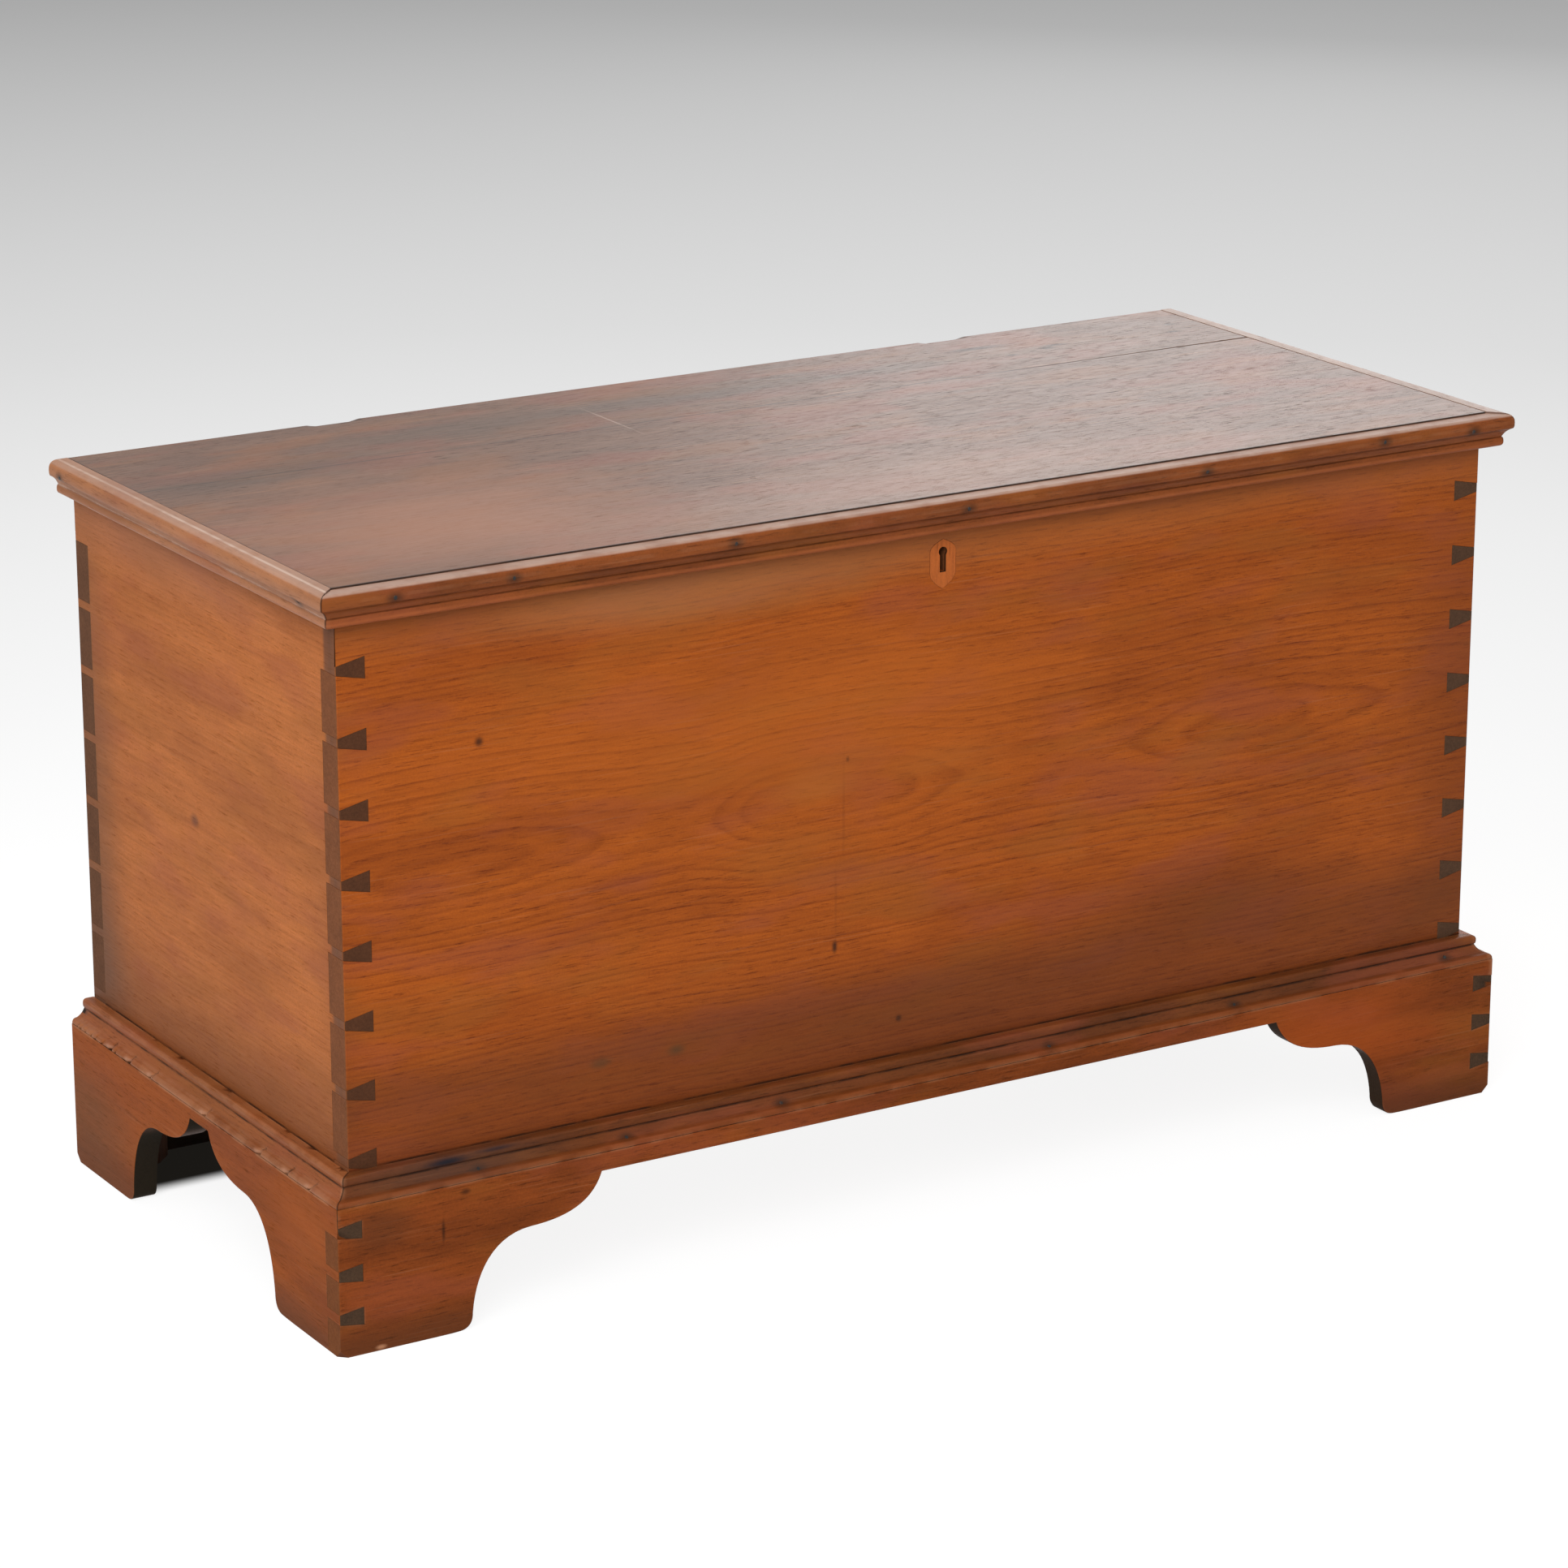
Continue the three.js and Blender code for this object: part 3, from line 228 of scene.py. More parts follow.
class Recipe:
    """Builds one node material and hands back the sockets of what it adds."""

    def __init__(self, name, tree=None):
        if tree is None:
            self.material = bpy.data.materials.new(name)
            self.material.use_nodes = True
            tree = self.material.node_tree
        self.tree = tree
        self.tree.nodes.clear()

    def feed(self, socket, value):
        if isinstance(value, bpy.types.NodeSocket):
            self.tree.links.new(value, socket)
        elif socket.type == "RGBA":
            socket.default_value = (*tuple(value)[:3], 1)
        else:
            socket.default_value = value

    def node(self, kind, sockets=None, **options):
        made = self.tree.nodes.new("ShaderNode" + kind)
        for key, value in options.items():
            setattr(made, key, value)
        for key, value in (sockets or {}).items():
            self.feed(made.inputs[key], value)
        return made

    def math(self, operation, *values, clamp=False):
        sockets = dict(enumerate(values))
        return self.node("Math", sockets, operation=operation, use_clamp=clamp).outputs[0]

    def times(self, value, factor, plus=None, clamp=False):
        """A value times a factor, plus a third where one is given."""
        if plus is None:
            return self.math("MULTIPLY", value, factor, clamp=clamp)
        return self.math("MULTIPLY_ADD", value, factor, plus, clamp=clamp)

    def size(self, value):
        return self.math("ABSOLUTE", value)

    def vector(self, operation, first, second):
        made = self.node("VectorMath", {0: first, 1: second}, operation=operation)
        return made.outputs["Value" if operation in {"LENGTH", "DOT_PRODUCT"} else "Vector"]

    def length(self, vector):
        return self.vector("LENGTH", vector, (0, 0, 0))

    def mix(self, share, first, second, blend="MIX", clamp=True):
        sockets = {0: share, 6: first, 7: second}
        return self.node("Mix", sockets, data_type="RGBA", blend_type=blend, clamp_factor=clamp).outputs[2]

    def step(self, value, low, high, start=0.0, end=1.0):
        sockets = {"Value": value, "From Min": low, "From Max": high, "To Min": start, "To Max": end}
        return self.node("MapRange", sockets, interpolation_type="SMOOTHSTEP").outputs[0]

    def noise(self, vector, scale=1.0, detail=2.0, roughness=0.5, output=0):
        sockets = {"Vector": vector, "Scale": scale, "Detail": detail, "Roughness": roughness}
        return self.node("TexNoise", sockets).outputs[output]

    def separate(self, vector):
        return self.node("SeparateXYZ", {"Vector": vector}).outputs

    def combine(self, x, y, z):
        return self.node("CombineXYZ", {"X": x, "Y": y, "Z": z}).outputs[0]

    def show(self, shader, kind="Material"):
        self.tree.links.new(shader.outputs[0], self.node("Output" + kind).inputs[0])

    def coat(self, colour, rough, height, strength, depth, **more):
        """Finishes the material with its colour, roughness and relief."""
        bump = self.node("Bump", {"Height": height, "Strength": strength, "Distance": depth})
        sockets = {"Base Color": colour, "Roughness": rough, "Normal": bump.outputs[0], **more}
        self.show(self.node("BsdfPrincipled", sockets))
        return self.material


# The axes along the grain, up or across it, and into the board
GRAIN_ORDER = {"X": (0, 2, 1), "Y": (1, 2, 0), "Z": (2, 0, 1)}

# How often a pattern repeats in a metre along and across the grain, its shift, detail and roughness
PATTERNS = {
    "drift": (1.7, 0, (3, 5), 2, 0.5),
    "ripple": (2.4, 11, (0, 0), 3, 0.5),
    "fibres": (20, 380, (1, 2), 4, 0.7),
    "grit": (60, 800, (4, 1), 3, 0.6),
    "hairs": (8, 480, (6, 8), 2, 0.5),
    "blotch": (13, 45, (5, 6), 4, 0.65),
    "clouds": (4, 15, (7, 3), 4, 0.6),
    "tints": (7, 20, (2, 9), 3, 0.5),
}

WOOD_LOOK = {
    # Width of a year's ring, how far the heart wanders, and how uneven the rings are
    "spacing": 0.0046, "wander": 0.012, "ripple": 0.006,
    # How strong each pattern is
    "rings": 0.25, "fibres": 0.6, "pores": 0.5, "mottle": 0.9, "blotch": 0.8, "hairs": 0.12,
    "clouds": 0.35, "cloud_colour": None, "tint": 0.3,
    "roughness": 0.5, "specular": 0.15, "bump": 0.35,
    # Colours of the cut ends, where they aren't the usual ones
    "end_light": None, "end_dark": None,
    # Half of a board's length, how far its figure swings, and the curve that it follows
    "figure": None,
    # Marks of stain, dirt and painted shade, and broad lighter or darker patches: centre, reach, colour and
    # share
    "marks": (),
    # Lines of dirt, wear, painted shade and painted highlights: what the position is measured along, position,
    # reach, colour, share, breaks
    "bands": (),
    # Painted shade on the cut-outs: axis across the board, what the position is measured along, position, and
    # how squarely the faces that keep their colour point along that axis
    "hollow": None,
    # Axis and sign of the face that is bare inside the chest
    "bare": None,
    # Dirt and painted shade in the quirks, and wear with painted highlights on the edges
    "recess_dirt_and_shade": 0.0, "edge_wear_and_painted_highlight": 0.0,
}


def ring_profile(recipe, phase):
    """One year's growth: pale early wood that darkens slowly, then turns back at once."""
    ramp = recipe.node("ValToRGB", {"Fac": phase})
    stops = ramp.color_ramp.elements
    for stop in stops:
        stop.color = (0.5, 0.5, 0.5, 1)
    for position, level in ((0.14, 0.0), (0.6, 0.3), (0.92, 1.0)):
        stops.new(position).color = (level, level, level, 1)
    return ramp.outputs[0]


def figure_curve(recipe, along, reach, shares):
    """How far the heart of the log wanders behind a board, drawn along the board's length."""
    share = recipe.node("MapRange", {"Value": along, "From Min": -reach, "From Max": reach}).outputs[0]
    curve = recipe.node("FloatCurve", {"Value": share})
    points = curve.mapping.curves[0].points
    points[0].location, points[1].location = shares[0], shares[-1]
    for place in shares[1:-1]:
        points.new(*place)
    curve.mapping.update()
    return curve.outputs[0]


def wood(name, grain, light, dark, pith, seed=0.0, **more):
    """A board sawn out of a log: rings round its pith, fibres, pores, clouds, marks and cut ends.

    The grain is the axis along which the board was sawn, and the pith says how far the heart of
    the log lies from the origin in the two directions across it. WOOD_LOOK names the rest.
    """
    look = WOOD_LOOK | more
    woods = bpy.context.scene.chest_wood
    recipe = Recipe(name)
    source = recipe.node("TexCoord").outputs
    place = source["Object"]
    order = GRAIN_ORDER[grain]
    parts = recipe.separate(place)
    along, up, deep = (parts[i] for i in order)
    board = recipe.combine(along, up, deep)
    facing = recipe.separate(source["Normal"])
    cut_end = recipe.step(recipe.size(facing[order[0]]), 0.6, 0.8)
    long_grain = recipe.math("SUBTRACT", 1.0, cut_end)

    def pattern(kind, output=0):
        often, often_across, shift, detail, roughness = PATTERNS[kind]
        spot = recipe.node(
            "Mapping",
            {"Vector": board, "Scale": (often, often_across, often_across), "Location": (seed, *shift)},
        ).outputs[0]
        return recipe.noise(spot, detail=detail, roughness=roughness, output=output)

    wander, drift = look["wander"], recipe.separate(pattern("drift", 1))
    shifts = [recipe.times(drift[i], 2 * wander, -wander - pith[i]) for i in (0, 1)]
    if look["figure"]:
        reach, swing, shares = look["figure"]
        shifts[1] = recipe.times(figure_curve(recipe, along, reach, shares), swing, -pith[1])
    heights = [recipe.math("ADD", across, shift) for across, shift in zip((up, deep), shifts)]
    rippled = recipe.times(pattern("ripple"), look["ripple"], recipe.length(recipe.combine(0.0, *heights)))
    years = recipe.math("DIVIDE", rippled, look["spacing"])
    year = recipe.node("TexWhiteNoise", {"W": recipe.math("FLOOR", years)}, noise_dimensions="1D")
    line = ring_profile(recipe, recipe.math("FRACT", years))
    rings = recipe.times(line, recipe.times(year.outputs[0], 0.8, 0.2))

    fibres, blotch, clouds = pattern("fibres"), pattern("blotch"), pattern("clouds")
    pores = recipe.step(pattern("grit"), 0.57, 0.67)
    hairs = recipe.step(pattern("hairs"), 0.6, 0.74)
    mottle = recipe.noise(place, scale=480, detail=4, roughness=0.8)
    tints = recipe.separate(pattern("tints", 1))

    tone = recipe.times(rings, look["rings"], 0.13)
    for value, share in ((fibres, look["fibres"]), (mottle, look["mottle"]), (blotch, look["blotch"])):
        tone = recipe.math("ADD", tone, recipe.times(value, share, -share / 2))
    tone = recipe.math("ADD", tone, recipe.times(pores, look["pores"]))
    colour = recipe.mix(tone, light, dark, clamp=False)
    colour = recipe.mix(recipe.times(hairs, look["hairs"]), colour, woods.wear_and_painted_highlight)
    cloudy = recipe.times(recipe.step(clouds, 0.42, 0.68), look["clouds"])
    colour = recipe.mix(cloudy, colour, look["cloud_colour"] or dark)
    colour = recipe.mix(recipe.step(clouds, 0.44, 0.3, 0, look["clouds"] * 0.6), colour, light)
    colour = recipe.mix(recipe.step(tints[0], 0.48, 0.66, 0, look["tint"]), colour, woods.rose)
    colour = recipe.mix(recipe.step(tints[1], 0.5, 0.68, 0, look["tint"]), colour, woods.ochre)

    for centre, reach, mark_colour, share in look["marks"]:
        away = recipe.vector("MULTIPLY", recipe.vector("SUBTRACT", place, centre), [1 / r for r in reach])
        ragged = recipe.times(clouds, 0.5, recipe.length(away))
        colour = recipe.mix(recipe.step(ragged, 1.25, 0.35, 0, share), colour, mark_colour)

    if look["bare"]:
        inward, sign = look["bare"]
        unwaxed = recipe.mix(tone, woods.inner, woods.inner_dark, clamp=False)
        colour = recipe.mix(recipe.step(recipe.times(facing[inward], sign), 0.5, 0.8), colour, unwaxed)

    end_tone = recipe.times(blotch, 0.9, recipe.times(fibres, 1.1, recipe.times(mottle, 0.9, -1.0)))
    end_light, end_dark = look["end_light"] or woods.end_grain, look["end_dark"] or woods.end_grain_dark
    colour = recipe.mix(cut_end, colour, recipe.mix(end_tone, end_light, end_dark))

    broken = recipe.step(recipe.noise(place, scale=38, detail=3), 0.38, 0.6)
    sides = recipe.combine(recipe.size(parts[0]), parts[1], parts[2])
    # Painted shade on the faces of the cut-outs that turn away from the board's face
    if look["hollow"]:
        outer, measured, position, turned = look["hollow"]
        inward = recipe.step(recipe.size(facing[outer]), turned, turned - 0.3)
        where = recipe.vector("DOT_PRODUCT", sides, measured)
        clear = recipe.step(where, position, position - 4 * MM, 0, 0.9)
        colour = recipe.mix(recipe.times(inward, clear), colour, woods.painted_shade)
    # Bands of dirt, wear, painted shade and painted highlights
    for measured, position, reach, band_colour, share, breaks in look["bands"]:
        where = recipe.vector("DOT_PRODUCT", sides, measured)
        near = recipe.size(recipe.math("SUBTRACT", where, position))
        lasting = recipe.times(recipe.times(broken, breaks, 1 - breaks), long_grain)
        band = recipe.times(recipe.step(near, reach, reach * 0.35, 0, share), lasting)
        colour = recipe.mix(band, colour, band_colour)

    # Dirt and painted shade where the surface is occluded
    if look["recess_dirt_and_shade"]:
        quirk = recipe.node("AmbientOcclusion", {"Distance": 12 * MM}, samples=6, only_local=True)
        dirt_and_shade = recipe.step(quirk.outputs["AO"], 0.85, 0.35, 0, look["recess_dirt_and_shade"])
        colour = recipe.mix(dirt_and_shade, colour, woods.grime_and_shade)
    # Wear and painted highlights on the convex edges
    if look["edge_wear_and_painted_highlight"]:
        edge = recipe.node("AmbientOcclusion", {"Distance": 4 * MM}, samples=6, only_local=True, inside=True)
        worn = recipe.times(recipe.step(edge.outputs["AO"], 0.75, 0.3, 0, look["edge_wear_and_painted_highlight"]), broken)
        colour = recipe.mix(recipe.times(worn, long_grain), colour, woods.wear_and_painted_highlight)

    rough = recipe.times(pores, 0.15, recipe.times(fibres, 0.2, look["roughness"] - 0.1))
    rough = recipe.times(cut_end, 0.2, rough, clamp=True)
    planed = recipe.noise(place, scale=14, detail=1)
    height = recipe.times(planed, 1.2, recipe.times(fibres, 0.35))
    height = recipe.times(rings, -0.12, recipe.times(pores, -0.4, height))
    gloss = {"Specular IOR Level": look["specular"]}
    return recipe.coat(colour, rough, height, look["bump"], 0.9 * MM, **gloss)


def forged_iron(name, iron, shine=0.9):
    """Dark forged iron with hammer marks and rust."""
    recipe = Recipe(name)
    place = recipe.node("TexCoord").outputs["Object"]
    grain = recipe.noise(place, scale=900, detail=3)
    hammered = recipe.node("TexVoronoi", {"Vector": place, "Scale": 180}).outputs["Distance"]
    rusty = recipe.step(recipe.noise(place, scale=60, detail=5, roughness=0.65), 0.48, 0.66)
    colour = recipe.mix(rusty, iron, bpy.context.scene.chest_iron.rust)
    colour = recipe.mix(recipe.step(grain, 0.35, 0.7, 0, 0.4), colour, paint(30, 26, 24))
    height = recipe.times(grain, 0.4, recipe.times(hammered, 0.8))
    metal = recipe.times(recipe.times(rusty, -0.9, 1.0), shine)
    return recipe.coat(colour, recipe.times(rusty, 0.3, 0.45), height, 0.4, 0.5 * MM, Metallic=metal)


def marks_on(axis, face, depth, rows):
    """Marks on one face of a board: each row has its place and reach there, its colour and share."""
    marks = []
    for first, second, first_reach, second_reach, mark_colour, share in rows:
        centre, reach = [first, second], [first_reach, second_reach]
        centre.insert("xyz".index(axis), face)
        reach.insert("xyz".index(axis), depth)
        marks.append((centre, reach, mark_colour, share))
    return marks


# Shapes


def shape_of(node):
    """A merged copy of a CAD node, with its flat faces whole."""
    shape = bmesh.new()
    shape.from_mesh(frame["nodes"][node].data)
    bmesh.ops.remove_doubles(shape, verts=shape.verts, dist=MERGE_DISTANCE)
    bmesh.ops.dissolve_limit(shape, angle_limit=FLAT_ANGLE, verts=shape.verts, edges=shape.edges)
    return shape


def lies(point, **at):
    """Whether a point has the given coordinates."""
    return all(abs(getattr(point, axis) - value) < LINE_TOLERANCE for axis, value in at.items())


def edges_at(edges, **at):
    """Those edges whose two ends have the given coordinates."""
    return [e for e in edges if all(lies(v.co, **at) for v in e.verts)]


def sharp_edges(shape):
    return [e for e in shape.edges if len(e.link_faces) == 2 and e.calc_face_angle(0) > SHARP_ANGLE]


def round_over(shape, worn, width, segments=3, affect="EDGES"):
    """Rounds edges or points over, as wear does."""
    live = [part for part in worn if part.is_valid]
    if live:
        bmesh.ops.bevel(
            shape, geom=live, offset=width, offset_type="OFFSET", segments=segments, profile=0.5,
            affect=affect, material=-1, clamp_overlap=True,
        )


def cut_across(shape, place, normal):
    """Cuts a shape's faces along a plane, and gives what the plane made."""
    everything = shape.verts[:] + shape.edges[:] + shape.faces[:]
    return bmesh.ops.bisect_plane(shape, geom=everything, plane_co=place, plane_no=normal)["geom_cut"]


def subdivide_along(shape, axis, longest, cuts):
    """Cuts a long shape across into short lengths."""
    index = "xyz".index(axis)
    edges = [e for e in shape.edges if abs(e.verts[1].co[index] - e.verts[0].co[index]) > longest]
    bmesh.ops.subdivide_edges(shape, edges=edges, cuts=cuts, use_grid_fill=True)


def keep_inside(shape, low, high):
    """Brings every point that wandered outside a box back to its side."""
    for vert in shape.verts:
        vert.co = [min(max(c, a), b) for c, a, b in zip(vert.co, low, high)]


def add_piece(name, shape, material, node=None, body=None, slot=None):
    """Makes an object of a shape, which rides on its body and stands for its node."""
    mesh = bpy.data.meshes.new(name)
    shape.to_mesh(mesh)
    shape.free()
    mesh.materials.append(material)
    mesh.shade_smooth()
    mesh.set_sharp_from_angle(angle=SMOOTH_ANGLE)
    piece = bpy.data.objects.new(name, mesh)
    bpy.context.scene.collection.objects.link(piece)
    piece.modifiers.new("Flat faces stay flat", "WEIGHTED_NORMAL").keep_sharp = True
    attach(piece, body or frame["nodes"][node]["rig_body"])
    slot or SLOT_OF[node]
    if node:
        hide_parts(node)


def add_board(node, shape, grain, look):
    """Makes the worn board that stands for a node, out of its own wood."""
    add_piece(node + "_worn", shape, wood(node + " wood", grain, **look), node)


def finish_node(node, material, width):
    """Gives a CAD node its material and eases its edges."""
    piece = frame["nodes"][node]
    piece.data.materials.clear()
    piece.data.materials.append(material)
    piece.modifiers.new("Weld", "WELD").merge_threshold = MERGE_DISTANCE
    ease = piece.modifiers.new("Ease", "BEVEL")
    ease.width = width
    ease.segments = 2
    ease.limit_method = "ANGLE"
    ease.angle_limit = EASED_ANGLE
    ease.harden_normals = True


# Case

# The corners are dovetailed up to this far below the rim, and mitred above
DOVETAILS_END = 39 * MM


class CHEST_OT_case(bpy.types.Operator):
    """Dress the four dovetailed boards of the case"""

    bl_idname = "chest.case"
    bl_label = "Case boards"

    def execute(self, context):
        woods, wear = settings(context)
        low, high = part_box("front_board")[0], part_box("back_board")[1]
        moulding_top, moulding_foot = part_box("base_moulding_front")[1].z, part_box("lid_moulding_front")[0].z
        # Along the joint above the base moulding: dirt and painted shade. Under the lid's moulding: painted
        # shade
        bands = [
            (UP, moulding_top, 2.6 * MM, woods.grime_and_shade, 0.85, 0.6),
            (UP, moulding_foot - MM, 3 * MM, woods.grime_and_shade, 0.6, 0.4),
        ]
        for node, grain, look in case_looks(woods):
            shape = shape_of(node)
            corners = [
                e for x in (low.x, high.x) for y in (low.y, high.y) for e in edges_at(shape.edges, x=x, y=y)
                if max(v.co.z for v in e.verts) < high.z - DOVETAILS_END
            ]
            round_over(shape, corners, wear.corner)
            round_over(shape, edges_at(sharp_edges(shape), z=high.z), wear.ease, segments=2)
            look["bands"] = bands + look.get("bands", [])
            add_board(node, shape, grain, look)
        return {"FINISHED"}


def case_looks(woods):
    """Each board of the case with its grain and what its wood looks like."""
    grime_and_shade, brown = woods.grime_and_shade, paint(98, 46, 20)
    front_face, end_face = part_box("front_board")[0].y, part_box("left_end_board")[0].x
    # Painted shade inside the keyhole
    keyhole = ((0.0, front_face + 13 * MM, 0.613), (0.02, 0.0085, 0.03), grime_and_shade, 1.0)
    # Broad patches: darker towards the bottom and the ends, lighter across the middle and along the top
    front_marks = [
        *marks_on("y", front_face, 0.2, (
            (0.0, 0.10, 1.6, 0.19, paint(90, 44, 22), 0.85),
            (0.30, 0.255, 0.22, 0.05, brown, 0.5),
            (0.62, 0.36, 0.15, 0.36, brown, 0.45),
            (0.0, 0.215, 1.6, 0.05, paint(92, 48, 24), 0.4),
            (-0.17, 0.49, 0.42, 0.13, paint(198, 104, 34), 0.4),
            (-0.62, 0.25, 0.06, 0.2, brown, 0.3),
            (0.0, 0.655, 1.6, 0.07, paint(166, 104, 58), 0.55),
            (-0.26, 0.62, 0.34, 0.04, paint(170, 116, 74), 0.4),
        )),
        keyhole,
        *marks_on("y", front_face, 0.02, (
            (-0.111, 0.273, 0.004, 0.009, grime_and_shade, 0.85),
            (-0.464, 0.519, 0.006, 0.006, grime_and_shade, 0.8),
            (-0.043, 0.193, 0.005, 0.005, grime_and_shade, 0.7),
            (-0.098, 0.445, 0.003, 0.004, grime_and_shade, 0.5),
            (-0.102, 0.40, 0.0022, 0.07, brown, 0.2),
            (-0.11, 0.31, 0.0022, 0.05, brown, 0.2),
            (-0.274, 0.207, 0.014, 0.008, paint(70, 58, 36), 0.6),
            (-0.350, 0.209, 0.016, 0.008, paint(70, 58, 36), 0.5),
        )),
        *marks_on("y", front_face, 0.2, (
            (-0.135, 0.425, 0.07, 0.022, paint(186, 104, 40), 0.5),
            (-0.005, 0.43, 0.10, 0.02, paint(184, 102, 38), 0.45),
        )),
    ]
    yield "front_board", "X", dict(
        light=woods.front, dark=woods.front_dark, pith=(0.412, -0.186), seed=1.3, spacing=0.0056,
        ripple=0.01, rings=0.54, fibres=0.85, mottle=1.0, blotch=0.55, clouds=0.3, marks=front_marks,
        end_light=paint(143, 87, 52), end_dark=paint(104, 60, 34), bare=(1, 1),
        figure=(0.6, 0.026, (
            (0, 0.35), (0.07, 0.6), (0.18, 0.42), (0.27, 0.2), (0.37, 0.75), (0.45, 0.7), (0.55, 0.3),
            (0.66, 0.35), (0.78, 0.7), (0.86, 0.5), (1, 0.15),
        )),
    )
    yield "back_board", "X", dict(
        light=paint(140, 98, 66), dark=paint(92, 62, 40), pith=(0.33, 0.42), seed=8.8, roughness=0.72,
        end_light=paint(124, 84, 60), end_dark=paint(88, 60, 44), rings=0.4, clouds=0.5, bare=(1, -1),
    )
    # Broad patches: darker towards the bottom and the back, paler near the top
    left_marks = [
        *marks_on("x", end_face, 0.2, (
            (0.0, 0.12, 1.2, 0.16, paint(104, 56, 26), 0.75),
            (0.12, 0.64, 0.4, 0.07, paint(180, 122, 92), 0.5),
            (0.26, 0.35, 0.09, 0.4, paint(112, 76, 52), 0.6),
            (0.27, 0.2, 0.13, 0.14, paint(92, 66, 50), 0.55),
            (-0.25, 0.38, 0.08, 0.22, paint(138, 76, 38), 0.4),
        )),
        *marks_on("x", end_face, 0.02, ((0.032, 0.394, 0.012, 0.008, paint(104, 62, 44), 0.7),)),
    ]
    right_marks = marks_on("x", -end_face, 0.2, ((0.0, 0.12, 1.2, 0.15, paint(104, 60, 36), 0.7),))
    tails = [(BACK, front_face + back * MM, 10 * MM, paint(116, 72, 46), 0.9, 0.1) for back in (6, 14)]
    # The end boards take the paler end colours, painted for the stronger light and sheen on the ends
    end = dict(
        light=woods.end, dark=woods.end_dark, spacing=0.0052, ripple=0.008, rings=0.28, fibres=0.65,
        pores=0.4, mottle=1.0, blotch=0.75, clouds=0.4, roughness=0.55, bands=tails,
    )
    yield "left_end_board", "Y", dict(
        end, pith=(0.405, -0.52), seed=4.1, marks=left_marks, bare=(0, 1),
        end_light=paint(98, 59, 36), end_dark=paint(66, 40, 25),
    )
    yield "right_end_board", "Y", dict(
        end, pith=(0.36, 0.5), seed=9.7, marks=right_marks, bare=(0, -1),
        end_light=paint(98, 69, 49), end_dark=paint(66, 47, 34),
    )


class CHEST_OT_inlay(bpy.types.Operator):
    """Dress the inlaid escutcheon round the keyhole"""

    bl_idname = "chest.inlay"
    bl_label = "Escutcheon"

    def execute(self, context):
        woods, wear = settings(context)
        shape = shape_of("escutcheon")
        rim = edges_at(sharp_edges(shape), y=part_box("escutcheon")[0].y)
        round_over(shape, rim, wear.ease * 2, segments=2)
        # The escutcheon's walls round the keyhole get painted shade
        material = wood(
            "inlay wood", "Z", woods.inlay, woods.inlay_dark, pith=(0.05, -0.1), seed=2.2, spacing=0.002,
            hairs=0.0, tint=0.1, hollow=(1, UP, 1.0, 0.97),
        )
        add_piece("escutcheon_inlay", shape, material, "escutcheon")
        return {"FINISHED"}


# Inside and underneath

# Grain, seed and pith of each board that was never waxed
BARE_BOARDS = {
    "bottom_front_board": ("X", 0.3, (0.2, -0.1)),
    "bottom_back_board": ("X", 0.9, (0.0, 0.15)),
    "till_side": ("Y", 1.7, (0.7, -0.3)),
    "till_bottom": ("Y", 2.3, (0.3, -0.4)),
    "rear_foot_left": ("X", 3.1, (-0.1, 0.1)),
    "rear_foot_right": ("X", 3.9, (-0.1, 0.5)),
    "foot_block_front_left": ("Z", 4.4, (-0.5, -0.2)),
    "foot_block_front_right": ("Z", 5.2, (0.5, -0.3)),
    "foot_block_rear_left": ("Z", 6.6, (-0.6, 0.3)),
    "foot_block_rear_right": ("Z", 7.1, (0.55, 0.2)),
}


class CHEST_OT_inside(bpy.types.Operator):
    """Finish the bare boards inside and underneath"""

    bl_idname = "chest.inside"
    bl_label = "Bottom, till, rear feet and blocks"

    def execute(self, context):
        woods, wear = settings(context)
        clean = woods.inner, woods.inner_dark, 0.3
        # The rear feet and the foot blocks are near-black: dust, and painted shade for the dark under the
        # chest
        dust_and_painted_light = paint(50, 42, 32), paint(30, 25, 20), 0.1
        for node, (grain, seed, pith) in BARE_BOARDS.items():
            light, dark, tint = dust_and_painted_light if node.startswith(("rear", "foot")) else clean
            material = wood(
                node + " wood", grain, light, dark, pith=pith, seed=seed, roughness=0.8, rings=0.6,
                end_light=paint(66, 54, 42), end_dark=paint(42, 34, 26), tint=tint,
            )
            finish_node(node, material, wear.arris)
        return {"FINISHED"}


# Bracket base


class CHEST_OT_base(bpy.types.Operator):
    """Dress the bracket base, with its worn scrolls and chipped toes"""

    bl_idname = "chest.base"
    bl_label = "Bracket base"

    def execute(self, context):
        woods, wear = settings(context)
        low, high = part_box("base_front")
        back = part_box("base_left")[1].y
        for node, grain, face, look in base_looks(woods, low, high):
            shape = shape_of(node)
            corners = [e for x in (low.x, high.x) for e in edges_at(shape.edges, x=x, y=low.y)]
            for x in (low.x, high.x):
                for y in (low.y, back):
                    toes = [v for v in shape.verts if lies(v.co, x=x, y=y, z=0)]
                    round_over(shape, toes, wear.toe_chip, segments=1, affect="VERTICES")
            round_over(shape, corners, wear.corner)
            round_over(shape, scroll_edges(sharp_edges(shape), low, high, face), wear.arris, segments=2)
            if node == "base_front":
                behind = scroll_edges(shape.edges, low, high, {"y": high.y})
                round_over(shape, behind, wear.undercut, segments=2)
            add_board(node, shape, grain, look)
        return {"FINISHED"}


def scroll_edges(edges, low, high, face):
    """Those edges that outline the scrolls in one face of a bracket board, clear of its corners."""
    if "x" in face:
        index, first, last, top = 1, low.y + 0.03, math.inf, high.z - LINE_TOLERANCE
    else:
        index, first, last, top = 0, low.x + 0.04, high.x - 0.04, high.z - 4 * MM
    return [
        e for e in edges_at(edges, **face)
        if all(first < v.co[index] < last and v.co.z < top for v in e.verts)
    ]


